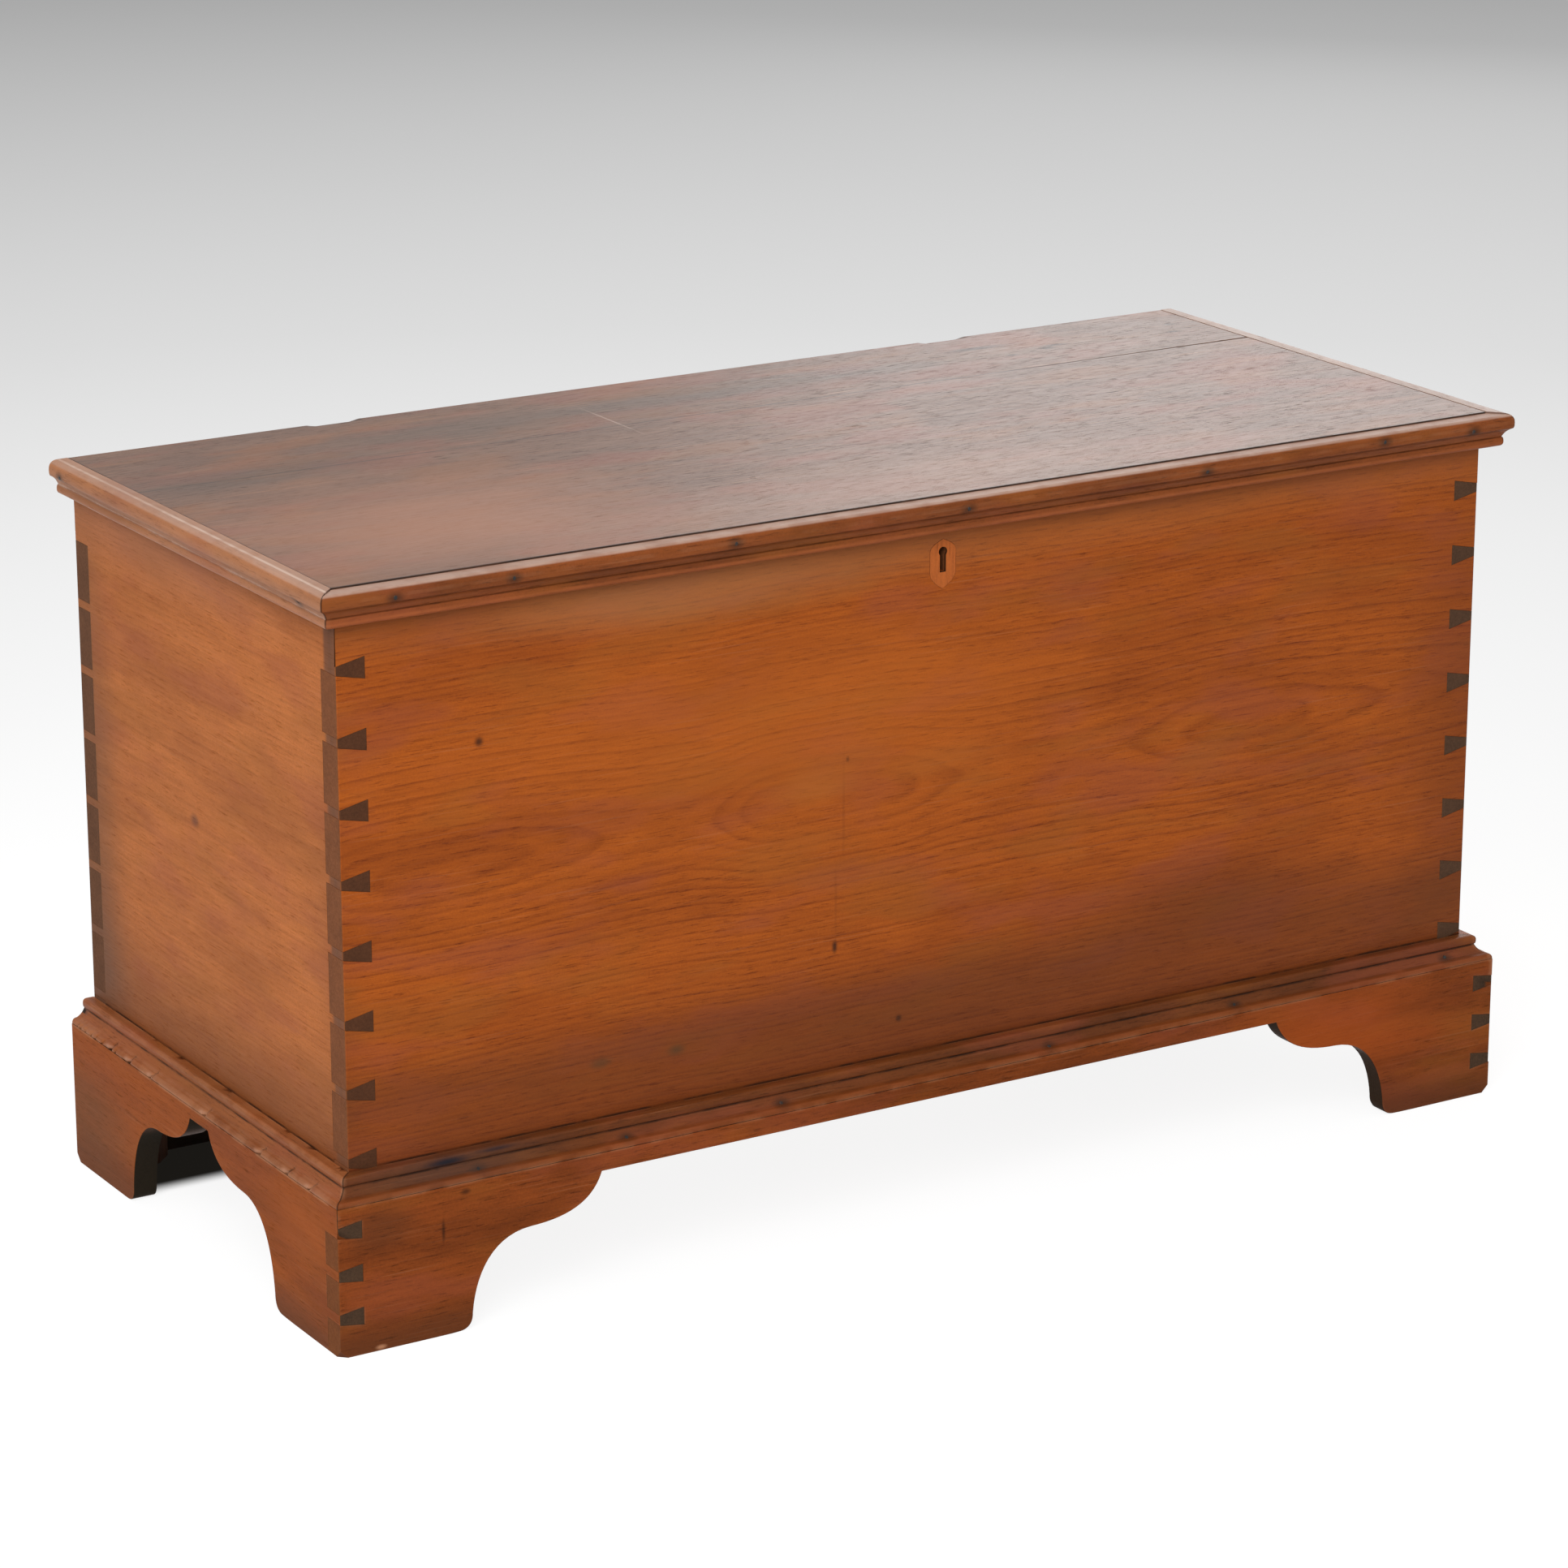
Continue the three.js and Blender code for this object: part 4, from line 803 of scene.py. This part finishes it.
def base_looks(woods, low, high):
    """Each board of the base with its grain, its outer face and what its wood looks like."""
    brown, grime_and_shade = paint(84, 50, 30), woods.grime_and_shade
    # A pale line along the top arris: wear and a painted highlight
    top_arris_wear_and_highlight = (UP, high.z, 2.4 * MM, woods.wear_and_painted_highlight)
    # Darker towards the floor
    foot_marks = [((0, low.y, 0.0), (2, 2, 0.045), brown, 0.7)]
    front_marks = marks_on("y", low.y, 0.02, (
        (-0.519, 0.096, 0.0028, 0.016, grime_and_shade, 0.7),
        (-0.497, 0.128, 0.007, 0.004, grime_and_shade, 0.7),
        (-0.58, 0.11, 0.05, 0.03, brown, 0.5),
        (0.42, 0.09, 0.2, 0.07, paint(180, 82, 28), 0.6),
        (-0.581, 0.003, 0.007, 0.003, woods.wear_and_painted_highlight, 0.8),
    ))
    left_marks = marks_on("x", low.x, 0.02, (
        (-0.254, 0.053, 0.004, 0.004, grime_and_shade, 0.8),
        (-0.19, 0.1, 0.09, 0.05, paint(178, 92, 36), 0.45),
        (0.24, 0.05, 0.14, 0.08, paint(92, 68, 46), 0.5),
    ))
    # The inner faces of the scrolls get painted shade
    look = dict(clouds=0.5, roughness=0.55, specular=0.08, recess_dirt_and_shade=0.3, edge_wear_and_painted_highlight=0.3)
    side = dict(
        look, light=paint(164, 82, 24), dark=paint(108, 52, 14), end_light=paint(92, 68, 50),
        end_dark=paint(56, 44, 34), tint=0.12, bands=[(*top_arris_wear_and_highlight, 0.35, 1.0)],
        hollow=(0, (0, -1, 0), -low.y - 0.03, 0.6),
    )
    yield "base_front", "X", {"y": low.y}, dict(
        look, light=woods.base, dark=woods.base_dark, pith=(0.02, -0.33), seed=1.9,
        marks=foot_marks + front_marks, end_light=paint(140, 84, 48), end_dark=paint(104, 60, 34),
        hollow=(1, OUT, high.x - 0.03, 0.6), bands=[(*top_arris_wear_and_highlight, 0.12, 1.0)],
    )
    left_marks = foot_marks + left_marks
    yield "base_left", "Y", {"x": low.x}, dict(side, pith=(0.05, -0.7), seed=5.5, marks=left_marks)
    yield "base_right", "Y", {"x": high.x}, dict(side, pith=(0.1, 0.68), seed=6.3, marks=foot_marks)


# Mouldings

# Nicks: along the left base moulding, and how deep beside the deepest
NICKS = (
    (0.253, 0.4), (0.247, 0.5), (0.236, 0.4), (0.224, 0.5), (0.213, 0.4), (0.198, 0.5), (0.181, 1.0),
    (0.171, 0.5), (0.141, 1.0), (0.0935, 0.9), (-0.017, 0.9), (-0.127, 1.0), (-0.182, 0.9), (-0.225, 0.8),
)
DEEP_NICK = 0.7
NICK_SLANT = Vector((0, 0.8, 0.6))
# Edges longer than this get this many cuts, and wobble by this many waves in a metre
LONG_RUN, RUN_CUTS, WAVES = 0.3, 40, 14


class CHEST_OT_mouldings(bpy.types.Operator):
    """Dress the mouldings of the lid and of the base"""

    bl_idname = "chest.mouldings"
    bl_label = "Mouldings"

    def execute(self, context):
        woods, wear = settings(context)
        rng = random.Random(wear.seed)
        for node, look in moulding_looks(woods).items():
            axis = "x" if "front" in node else "y"
            low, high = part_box(node)
            shape = shape_of(node)
            subdivide_along(shape, axis, LONG_RUN, RUN_CUTS)
            shift = Vector([rng.uniform(0, 9) for _ in range(3)])
            for vert in shape.verts:
                vert.co += vert.normal * noise.noise(vert.co * WAVES + shift) * wear.wobble
            sunk = wear.sunk if node == "lid_moulding_front" else 0.0
            keep_inside(shape, low, high - Vector((0, 0, sunk)))
            marks = nail_stains(node)
            if node == "base_moulding_front":
                marks += marks_on("y", low.y, 0.04, ((-0.5, 0.15, 0.15, 0.03, paint(72, 58, 52), 0.5),))
                marks += marks_on("y", low.y + 9 * MM, 0.016, (
                    (-0.508, 0.1535, 0.03, 0.006, paint(26, 28, 38), 0.95),
                    (-0.46, 0.156, 0.03, 0.003, paint(26, 28, 38), 0.7),
                ))
            if node == "base_moulding_left":
                cut_nicks(shape, low, wear.nick_depth)
                marks += nick_stains(low, woods)
            pith = (0.75 + rng.uniform(0, 0.1), rng.uniform(-0.3, 0.3))
            drawn = dict(pith=pith, seed=rng.uniform(0, 20), marks=marks, bands=moulding_bands(node, woods))
            add_board(node, shape, axis.upper(), look | drawn)
        return {"FINISHED"}


def moulding_looks(woods):
    """What the wood of each moulding looks like."""
    lid = dict(
        light=woods.moulding, dark=woods.moulding_dark, clouds=0.5, roughness=0.42, specular=0.12,
        recess_dirt_and_shade=0.4, edge_wear_and_painted_highlight=0.2,
    )
    # The end mouldings are painted paler than the front ones, for the stronger light on the ends
    lid_end_painted_paler = dict(lid, light=paint(188, 124, 82), dark=paint(136, 86, 56), specular=0.2, recess_dirt_and_shade=0.1)
    base = dict(lid, light=paint(115, 61, 27), dark=paint(72, 37, 17), edge_wear_and_painted_highlight=0.25)
    # The base's end mouldings are painted paler too, for the stronger light on the ends
    base_end_painted_paler = dict(base, light=paint(160, 92, 50), dark=paint(108, 60, 32), edge_wear_and_painted_highlight=0.4)
    return {
        "lid_moulding_front": lid,
        "lid_moulding_left": lid_end_painted_paler,
        "lid_moulding_right": dict(
            lid_end_painted_paler, light=paint(146, 108, 86), dark=paint(104, 74, 58), specular=0.5
        ),
        "base_moulding_front": base,
        "base_moulding_left": base_end_painted_paler,
        "base_moulding_right": base_end_painted_paler,
    }


def cut_nicks(shape, low, depth):
    """Slanting nicks across the lip of a moulding that runs along Y."""
    lip_middle, lip_back, lip_top = low.z + 5 * MM, low.x + 6 * MM, low.z + 9 * MM
    for y, share in NICKS:
        half = (1.4 + 2.4 * share) * MM
        middle = Vector((low.x, y, lip_middle))
        for side in (-1, 1, 0):
            cut = cut_across(shape, middle + NICK_SLANT * half * side, NICK_SLANT)
        for part in cut:
            if isinstance(part, bmesh.types.BMVert) and part.co.x < lip_back and part.co.z < lip_top:
                part.co.x += depth * share


def nick_stains(low, woods):
    """Dirt and painted shade in each deep nick, and a painted highlight on bare wood beside it."""
    rows = []
    for y, share in NICKS:
        if share > DEEP_NICK:
            rows.append((y + 7 * MM, low.z + 2 * MM, 0.009, 0.003, paint(196, 146, 120), 0.6))
            rows.append((y, low.z + 4 * MM, 0.0018, 0.005, woods.grime_and_shade, 0.75))
    return marks_on("x", low.x, 0.02, rows)


def moulding_bands(node, woods):
    """Dirt and painted shade in quirks, mitres and joints; a painted sheen on top; wear and painted highlights
    on crests.
    """
    low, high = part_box(node)
    grime_and_shade, wear_and_painted_highlight = woods.grime_and_shade, woods.wear_and_painted_highlight
    front = "front" in node
    mitre = (low.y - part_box(node.rpartition("_")[0] + "_left")[0].x) * math.sqrt(0.5)
    bands = [((math.sqrt(0.5), math.sqrt(0.5), 0), mitre, 1.1 * MM, grime_and_shade, 0.8, 0.3)]
    # Millimetres up from the moulding's foot or down from its top, and the reach in millimetres
    if node.startswith("lid"):
        # Painted sheen with dust on the top, a painted highlight on the nose's crest, painted shadow under the
        # nose, dirt and painted shade in the cove's quirk, and a painted lighter band near the foot
        rows = [
            (-1, 2.6, woods.dust_and_painted_light, 0.85 if front else 0.5, 0.3),
            (-8.5, 2.4, wear_and_painted_highlight, 0.1, 1.0),
            (-15.5, 2, grime_and_shade, 0.4 if front else 0.1, 0.7),
            (-23, 1.2, grime_and_shade, 0.35 if front else 0.15, 0.7),
            (2, 4, paint(190, 104, 56), 0.45 if front else 0.2, 0.3),
        ]
    elif front:
        # Dirt and painted shade in the quirk under the bead and above the lip, wear and a painted highlight on
        # the arris at the foot, and the lip's own colour
        rows = [
            (-8.7, 1.6, grime_and_shade, 0.8, 0.7),
            (5, 1.2, grime_and_shade, 0.6, 0.9),
            (0, 1.3, wear_and_painted_highlight, 0.12, 1.0),
            (3, 3.5, paint(160, 80, 32), 0.4, 0.3),
        ]
    else:
        # Dirt and painted shade in the quirk, and wear with painted highlights on the lip and the bead
        rows = [(-8.7, 1.6, grime_and_shade, 0.8, 0.7), (3, 4.5, wear_and_painted_highlight, 0.22, 1.0), (-2, 3, wear_and_painted_highlight, 0.15, 1.0)]
    for rise, reach, band_colour, share, breaks in rows:
        start = low.z if rise >= 0 else high.z
        bands.append((UP, start + rise * MM, reach * MM, band_colour, share, breaks))
    if node == "lid_moulding_left":
        # A painted highlight along the top arris of the left moulding
        bands.append((OUT, -low.x - 9.6 * MM, 2.2 * MM, paint(224, 192, 172), 0.85, 0.5))
    return bands


# Nails: along the moulding, and height
NAILS = {
    "lid_moulding_front": (
        (-0.551, 0.662), (-0.440, 0.663), (-0.225, 0.663), (0.012, 0.662), (0.268, 0.662),
        (0.468, 0.664), (0.571, 0.661),
    ),
    "lid_moulding_left": ((-0.222, 0.655), (0.245, 0.661)),
    "lid_moulding_right": ((-0.21, 0.662), (-0.03, 0.66), (0.14, 0.662)),
    "base_moulding_front": (
        (-0.480, 0.143), (-0.334, 0.1425), (-0.176, 0.143), (0.110, 0.142), (0.319, 0.143), (0.568, 0.144),
    ),
    "base_moulding_right": ((-0.19, 0.144), (0.0, 0.143), (0.17, 0.144)),
}
INWARD = {"front": Vector((0, 1, 0)), "left": Vector((1, 0, 0)), "right": Vector((-1, 0, 0))}


def behind_nail(node, along, height):
    """A place straight behind a nail of a moulding, in the middle of the chest, and the way there."""
    inward = INWARD[node.rpartition("_")[2]]
    return Vector((abs(inward.y) * along, abs(inward.x) * along, height)), inward


def nail_stains(node):
    """Dark stains round the nails of one moulding."""
    stains = []
    for along, height in NAILS.get(node, ()):
        place, inward = behind_nail(node, along, height)
        face = min(inward.dot(corner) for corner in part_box(node))
        stains.append((place + inward * (face + 4 * MM), (0.013, 0.013, 0.008), paint(50, 34, 24), 0.85))
    return stains


class CHEST_OT_nails(bpy.types.Operator):
    """Drive the nails that hold the mouldings"""

    bl_idname = "chest.nails"
    bl_label = "Moulding nails"

    def execute(self, context):
        wear = context.scene.chest_wear
        rng = random.Random(wear.seed + 1)
        material = forged_iron("nail iron", context.scene.chest_iron.nail, shine=0.1)
        for body, prefix in (("lid", "lid_moulding"), ("case", "base_moulding")):
            shape = bmesh.new()
            for node, places in NAILS.items():
                if not node.startswith(prefix):
                    continue
                surface = BVHTree.FromObject(
                    bpy.data.objects[node + "_worn"], bpy.context.evaluated_depsgraph_get()
                )
                for along, height in places:
                    drive_nail(shape, surface, node, along, height, wear.nail_head, rng)
            keep_inside(shape, *CAD_BOX)
            add_piece(prefix + "_nails", shape, material, body=body, slot="iron")
        return {"FINISHED"}


def drive_nail(shape, surface, node, along, height, radius, rng):
    """One forged head, sunk nearly flush in the moulding at that place."""
    place, inward = behind_nail(node, along, height)
    hit, normal, _, _ = surface.ray_cast(place - inward, inward)
    if hit is None:
        raise RuntimeError(f"no moulding at {node} {along}")
    thickness, sunk, uneven = radius * 0.55, 0.3, 0.06
    turn = normal.to_track_quat("Z", "Y").to_matrix().to_4x4()
    spin = Matrix.Rotation(rng.uniform(0, math.tau), 4, "Z")
    squeeze = Matrix.Diagonal((1, rng.uniform(0.7, 0.95), 1, 1))
    made = bmesh.ops.create_cone(
        shape, cap_ends=True, segments=10, radius1=radius, radius2=radius * 0.5, depth=thickness,
        matrix=Matrix.Translation(hit - normal * thickness * sunk) @ turn @ spin @ squeeze,
    )
    for vert in made["verts"]:
        vert.co += Vector([rng.uniform(-1, 1) for _ in range(3)]) * radius * uneven


# Lid

# The joint between the lid's boards has opened from here to the right
OPEN_FROM = 0.3


class CHEST_OT_lid(bpy.types.Operator):
    """Dress the two boards of the lid, whose joint has opened to the right"""

    bl_idname = "chest.lid"
    bl_label = "Lid boards"

    def execute(self, context):
        woods, wear = settings(context)
        low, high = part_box("lid_front_board")
        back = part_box("lid_back_board")[1].y
        joint, top = high.y, high.z
        look = lid_look(woods, low, high, back)
        for node in ("lid_front_board", "lid_back_board"):
            shape = shape_of(node)
            for vert in shape.verts:
                if lies(vert.co, x=high.x):
                    vert.co.x -= wear.shrunk
            if node == "lid_back_board":
                close_joint(shape, joint, wear.shrunk)
                round_over(shape, edges_at(shape.edges, y=back, z=top), wear.corner)
            mouth = [
                e for e in edges_at(sharp_edges(shape), z=top)
                if all(abs(v.co.y - joint) < 4 * MM and v.co.x > OPEN_FROM - MM for v in e.verts)
            ]
            round_over(shape, mouth, wear.ease, segments=2)
            add_board(node, shape, "X", look)
        return {"FINISHED"}


def lid_look(woods, low, high, back):
    """The faded top: stains, a scratch, dirty edges, patches darker at the back, painted shade by the hinges.
    """
    grime_and_shade, dark = woods.grime_and_shade, paint(88, 74, 64)
    marks = marks_on("z", high.z, 0.02, (
        # Broad patches: darker towards the back, paler towards the front and the left
        (-0.49, 0.12, 0.2, 0.06, dark, 0.55),
        (-0.2, 0.18, 0.3, 0.055, dark, 0.5),
        (0.1, 0.185, 0.28, 0.05, dark, 0.55),
        (0.34, 0.216, 0.05, 0.009, grime_and_shade, 0.7),
        (0.404, 0.182, 0.012, 0.008, grime_and_shade, 0.6),
        (0.357, 0.173, 0.01, 0.006, grime_and_shade, 0.5),
        (0.418, 0.189, 0.02, 0.006, grime_and_shade, 0.6),
        (0.567, 0.207, 0.01, 0.006, grime_and_shade, 0.6),
        (0.169, -0.241, 0.003, 0.003, grime_and_shade, 0.8),
        (0.552, 0.178, 0.012, 0.005, grime_and_shade, 0.7),
        (0.341, -0.179, 0.003, 0.003, grime_and_shade, 0.8),
        (-0.42, -0.12, 0.3, 0.24, paint(178, 120, 90), 0.75),
        (0.0, -0.2, 0.5, 0.12, paint(164, 122, 100), 0.5),
        # Painted shade at the back edge by the hinges
        (-0.335, back, 0.04, 0.012, grime_and_shade, 0.8),
        (0.335, back, 0.04, 0.012, grime_and_shade, 0.8),
        (-0.113, 0.137, 0.0017, 0.078, paint(206, 178, 160), 0.6),
    ))
    return dict(
        light=woods.lid, dark=woods.lid_dark, pith=(0.585, 0.02), spacing=0.0048, rings=0.2, fibres=0.85,
        pores=0.8, mottle=1.4, blotch=1.2, clouds=0.5, hairs=0.6, tint=0.35, roughness=0.4,
        cloud_colour=paint(112, 80, 64), specular=0.5, bump=0.5, marks=marks, seed=12.4, bare=(2, -1),
        bands=[
            (BACK, low.y, 2.4 * MM, grime_and_shade, 0.95, 0.2),
            (OUT, high.x, 2 * MM, grime_and_shade, 0.4, 0.6),
            (BACK, high.y, 1.6 * MM, grime_and_shade, 0.7, 0.3),
        ],
    )


def close_joint(shape, joint, shrunk):
    """The back board lies against the front one up to where the joint has opened, wider to the right."""
    cut_across(shape, (OPEN_FROM, 0, 0), OUT)
    for vert in shape.verts:
        if abs(vert.co.y - joint) < 2 * MM:
            if vert.co.x < OPEN_FROM + LINE_TOLERANCE:
                vert.co.y = joint
            else:
                vert.co.y += shrunk


# Ironwork

HINGES = ("hinge_left", "hinge_right")
HINGE_PARTS = [f"{hinge}_{part}" for hinge in HINGES for part in ("case_leaf", "pin", "lid_strap")]
LOCK_PARTS = ("lock_plate", "lock_cap", "lock_bolt", "strike_plate")
LEAF_SCREWS = {f"{hinge}_{leaf}": 3 for hinge in HINGES for leaf in ("case", "lid")}
SCREW_SETS = {"lock": 4, "strike": 2, **LEAF_SCREWS}
SCREWS = [f"{name}_screw_{i + 1}" for name, count in SCREW_SETS.items() for i in range(count)]


class CHEST_OT_ironwork(bpy.types.Operator):
    """Dress the hinges, the lock, its strike and the slotted screws"""

    bl_idname = "chest.ironwork"
    bl_label = "Hinges, lock and screws"

    def execute(self, context):
        wear = context.scene.chest_wear
        rng = random.Random(wear.seed + 2)
        material = forged_iron("forged iron", context.scene.chest_iron.iron)
        filed = wear.ease * 0.7
        for node in HINGE_PARTS:
            shape = shape_of(node)
            round_over(shape, sharp_edges(shape), filed, segments=2)
            add_piece(node + "_forged", shape, material, node)
        for node in LOCK_PARTS:
            finish_node(node, material, filed)
        for node in SCREWS:
            shape = shape_of(node)
            cut_slot(shape, node, rng)
            add_piece(node + "_slotted", shape, material, node)
        return {"FINISHED"}


def cut_slot(shape, node, rng):
    """Cuts the driver's slot across a screw's head."""
    outward = Vector((0, 1, 0)) if "lock" in node or "case" in node else Vector((0, 0, -1))
    head = max(shape.faces, key=lambda f: f.normal.dot(outward) * f.calc_area())
    centre = head.calc_center_median()
    radius = max((v.co - centre).length for v in head.verts)
    half, deep, taper = radius * 0.16, radius * 0.25, 0.86
    across = outward.orthogonal().normalized()
    across.rotate(Matrix.Rotation(rng.uniform(0, math.pi), 3, outward))
    faces = [head]
    for side in (-1, 1):
        geometry = faces + [e for f in faces for e in f.edges] + [v for f in faces for v in f.verts]
        bmesh.ops.bisect_plane(
            shape, geom=list(dict.fromkeys(geometry)), plane_co=centre + across * half * side, plane_no=across
        )
        faces = [f for f in shape.faces if f.normal.dot(outward) > 0.99]
    slot = min(faces, key=lambda f: (f.calc_center_median() - centre).length)
    result = bmesh.ops.extrude_discrete_faces(shape, faces=[slot])
    verts = result["faces"][0].verts[:]
    bmesh.ops.scale(shape, vec=(taper, taper, taper), space=Matrix.Translation(-centre), verts=verts)
    bmesh.ops.translate(shape, vec=-outward * deep, verts=verts)


# Stage

FLOOR_RADIUS = 30
FLOOR_DROP = 0.2 * MM
FLOOR_REACH = 7.0
# Share of that reach from the middle, and how light the floor is there
FLOOR_LEVELS = ((0.14, 0.985), (0.236, 0.896), (0.357, 0.807), (0.507, 0.68), (0.7, 0.565))
# Where the painted shadow behind the rear feet turns from light to dark, sideways and backwards
PAINTED_SHADOW_PATCH = ((0.40, 0.46), (0.617, 0.603)), ((0.15, 0.178), (0.285, 0.265))


class CHEST_OT_stage(bpy.types.Operator):
    """Set up the camera, the lamps, the pale floor and the backdrop"""

    bl_idname = "chest.stage"
    bl_label = "Stage"

    def execute(self, context):
        scene, stage = context.scene, context.scene.chest_stage
        camera = bpy.data.cameras.new("camera")
        camera.lens = stage.lens
        scene.camera = set_up("camera", camera, stage.place, stage.aim)
        scene.view_settings.view_transform = "Standard"
        add_lamp("key lamp", (-3.1, -3.1, 3.4), (0, 0, 0.3), 3.0, stage.key)
        add_lamp("back lamp", (4.2, 4.1, 2.2), (0.1, 0, 0.67), 3.2, stage.back)
        set_floor(stage)
        set_world(scene, stage)
        return {"FINISHED"}


def set_up(name, data, place, aim):
    """Stands a camera or lamp at a place, turned to what it looks at."""
    made = bpy.data.objects.new(name, data)
    made.location = place
    made.rotation_euler = (Vector(aim) - Vector(place)).to_track_quat("-Z", "Y").to_euler()
    bpy.context.scene.collection.objects.link(made)
    return made


def add_lamp(name, place, aim, size, power):
    lamp = bpy.data.lights.new(name, "AREA")
    lamp.shape = "SQUARE"
    lamp.size = size
    lamp.energy = power
    set_up(name, lamp, place, aim).visible_camera = False


def show_background(recipe, lit, shown, kind="Material"):
    """Shows the background to the camera, and to rays that were mirrored or passed through."""
    path = recipe.node("LightPath").outputs
    seen = recipe.math("MAXIMUM", path["Is Camera Ray"], path["Is Glossy Ray"])
    seen = recipe.math("MAXIMUM", seen, path["Is Transmission Ray"])
    recipe.show(recipe.node("MixShader", {0: seen, 1: lit.outputs[0], 2: shown.outputs[0]}), kind)


def set_floor(stage):
    """A wide pale disc that darkens away from the chest, keeps its shadow, and has a painted shadow behind the
    rear feet.
    """
    shape = bmesh.new()
    bmesh.ops.create_circle(
        shape, cap_ends=True, segments=96, radius=FLOOR_RADIUS, matrix=Matrix.Translation((0, 0, -FLOOR_DROP))
    )
    mesh = bpy.data.meshes.new("floor")
    shape.to_mesh(mesh)
    shape.free()
    floor = bpy.data.objects.new("floor", mesh)
    bpy.context.scene.collection.objects.link(floor)
    recipe = Recipe("pale floor")
    place = recipe.node("TexCoord").outputs["Object"]
    x, y, _ = recipe.separate(place)
    away = recipe.math("DIVIDE", recipe.length(place), FLOOR_REACH, clamp=True)
    ramp = recipe.node("ValToRGB", {"Fac": away})
    stops = ramp.color_ramp.elements
    stops[0].color = (*stage.near_floor, 1)
    stops[1].color = (*stage.far_floor, 1)
    for position, level in FLOOR_LEVELS:
        stops.new(position).color = (level, level, level, 1)
    # The painted shadow behind the rear feet
    painted_shadow = 1.0
    for value, edges in zip((recipe.size(x), y), PAINTED_SHADOW_PATCH):
        for light, dark in edges:
            painted_shadow = recipe.times(painted_shadow, recipe.step(value, light, dark))
    colour = recipe.mix(painted_shadow, ramp.outputs[0], stage.painted_shadow_floor)
    lit = recipe.node("BsdfDiffuse", {"Color": recipe.mix(1.0, colour, (0.22, 0.22, 0.22), "MULTIPLY")})
    glow = recipe.node("Emission", {"Color": colour, "Strength": 0.88})
    shown = recipe.node("AddShader", {0: lit.outputs[0], 1: glow.outputs[0]})
    show_background(recipe, recipe.node("BsdfDiffuse", {"Color": (0.62, 0.62, 0.62)}), shown)
    mesh.materials.append(recipe.material)
    floor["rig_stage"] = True


def set_world(scene, stage):
    """Soft light all round, in front of a pale backdrop that brightens upwards."""
    world = bpy.data.worlds.new("studio")
    world.use_nodes = True
    scene.world = world
    recipe = Recipe("studio", world.node_tree)
    rise = recipe.separate(recipe.node("TexCoord").outputs["Generated"])[2]
    pale = recipe.mix(recipe.step(rise, 0.0, 0.9), stage.far_floor, (0.95, 0.95, 0.95))
    light = recipe.node("Background", {"Color": (1, 1, 1), "Strength": stage.ambient})
    shown = recipe.node("Background", {"Color": pale, "Strength": 1.0})
    show_background(recipe, light, shown, "World")


# The add-on

OPERATORS = (
    CHEST_OT_case,
    CHEST_OT_inlay,
    CHEST_OT_inside,
    CHEST_OT_base,
    CHEST_OT_lid,
    CHEST_OT_mouldings,
    CHEST_OT_nails,
    CHEST_OT_ironwork,
    CHEST_OT_stage,
)
SETTINGS = {
    "chest_wood": ChestWoodSettings,
    "chest_wear": ChestWearSettings,
    "chest_iron": ChestIronSettings,
    "chest_stage": ChestStageSettings,
}


class CHEST_PT_finish(bpy.types.Panel):
    """Lists the steps and settings of the chest's finish"""

    bl_idname = "CHEST_PT_finish"
    bl_label = "Blanket chest"
    bl_space_type = "VIEW_3D"
    bl_region_type = "UI"
    bl_category = "Chest"

    def draw(self, context):
        for operator in OPERATORS:
            self.layout.operator(operator.bl_idname)
        for name, group in SETTINGS.items():
            box = self.layout.box()
            box.label(text=group.__doc__)
            for key in group.__annotations__:
                box.prop(getattr(context.scene, name), key)


def register():
    for item in (*SETTINGS.values(), *OPERATORS, CHEST_PT_finish):
        bpy.utils.register_class(item)
    for name, group in SETTINGS.items():
        setattr(bpy.types.Scene, name, PointerProperty(type=group))


def unregister():
    for name in SETTINGS:
        delattr(bpy.types.Scene, name)
    for item in reversed((*SETTINGS.values(), *OPERATORS, CHEST_PT_finish)):
        bpy.utils.unregister_class(item)


def main():
    register()
    for operator in OPERATORS:
        group, name = operator.bl_idname.split(".")
        getattr(getattr(bpy.ops, group), name)()
    boxes = {"cad": CAD_BOX, "visual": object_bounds()}
    plain = {name: [list(low), list(high)] for name, (low, high) in boxes.items()}


if __name__ == "__main__":
    main()
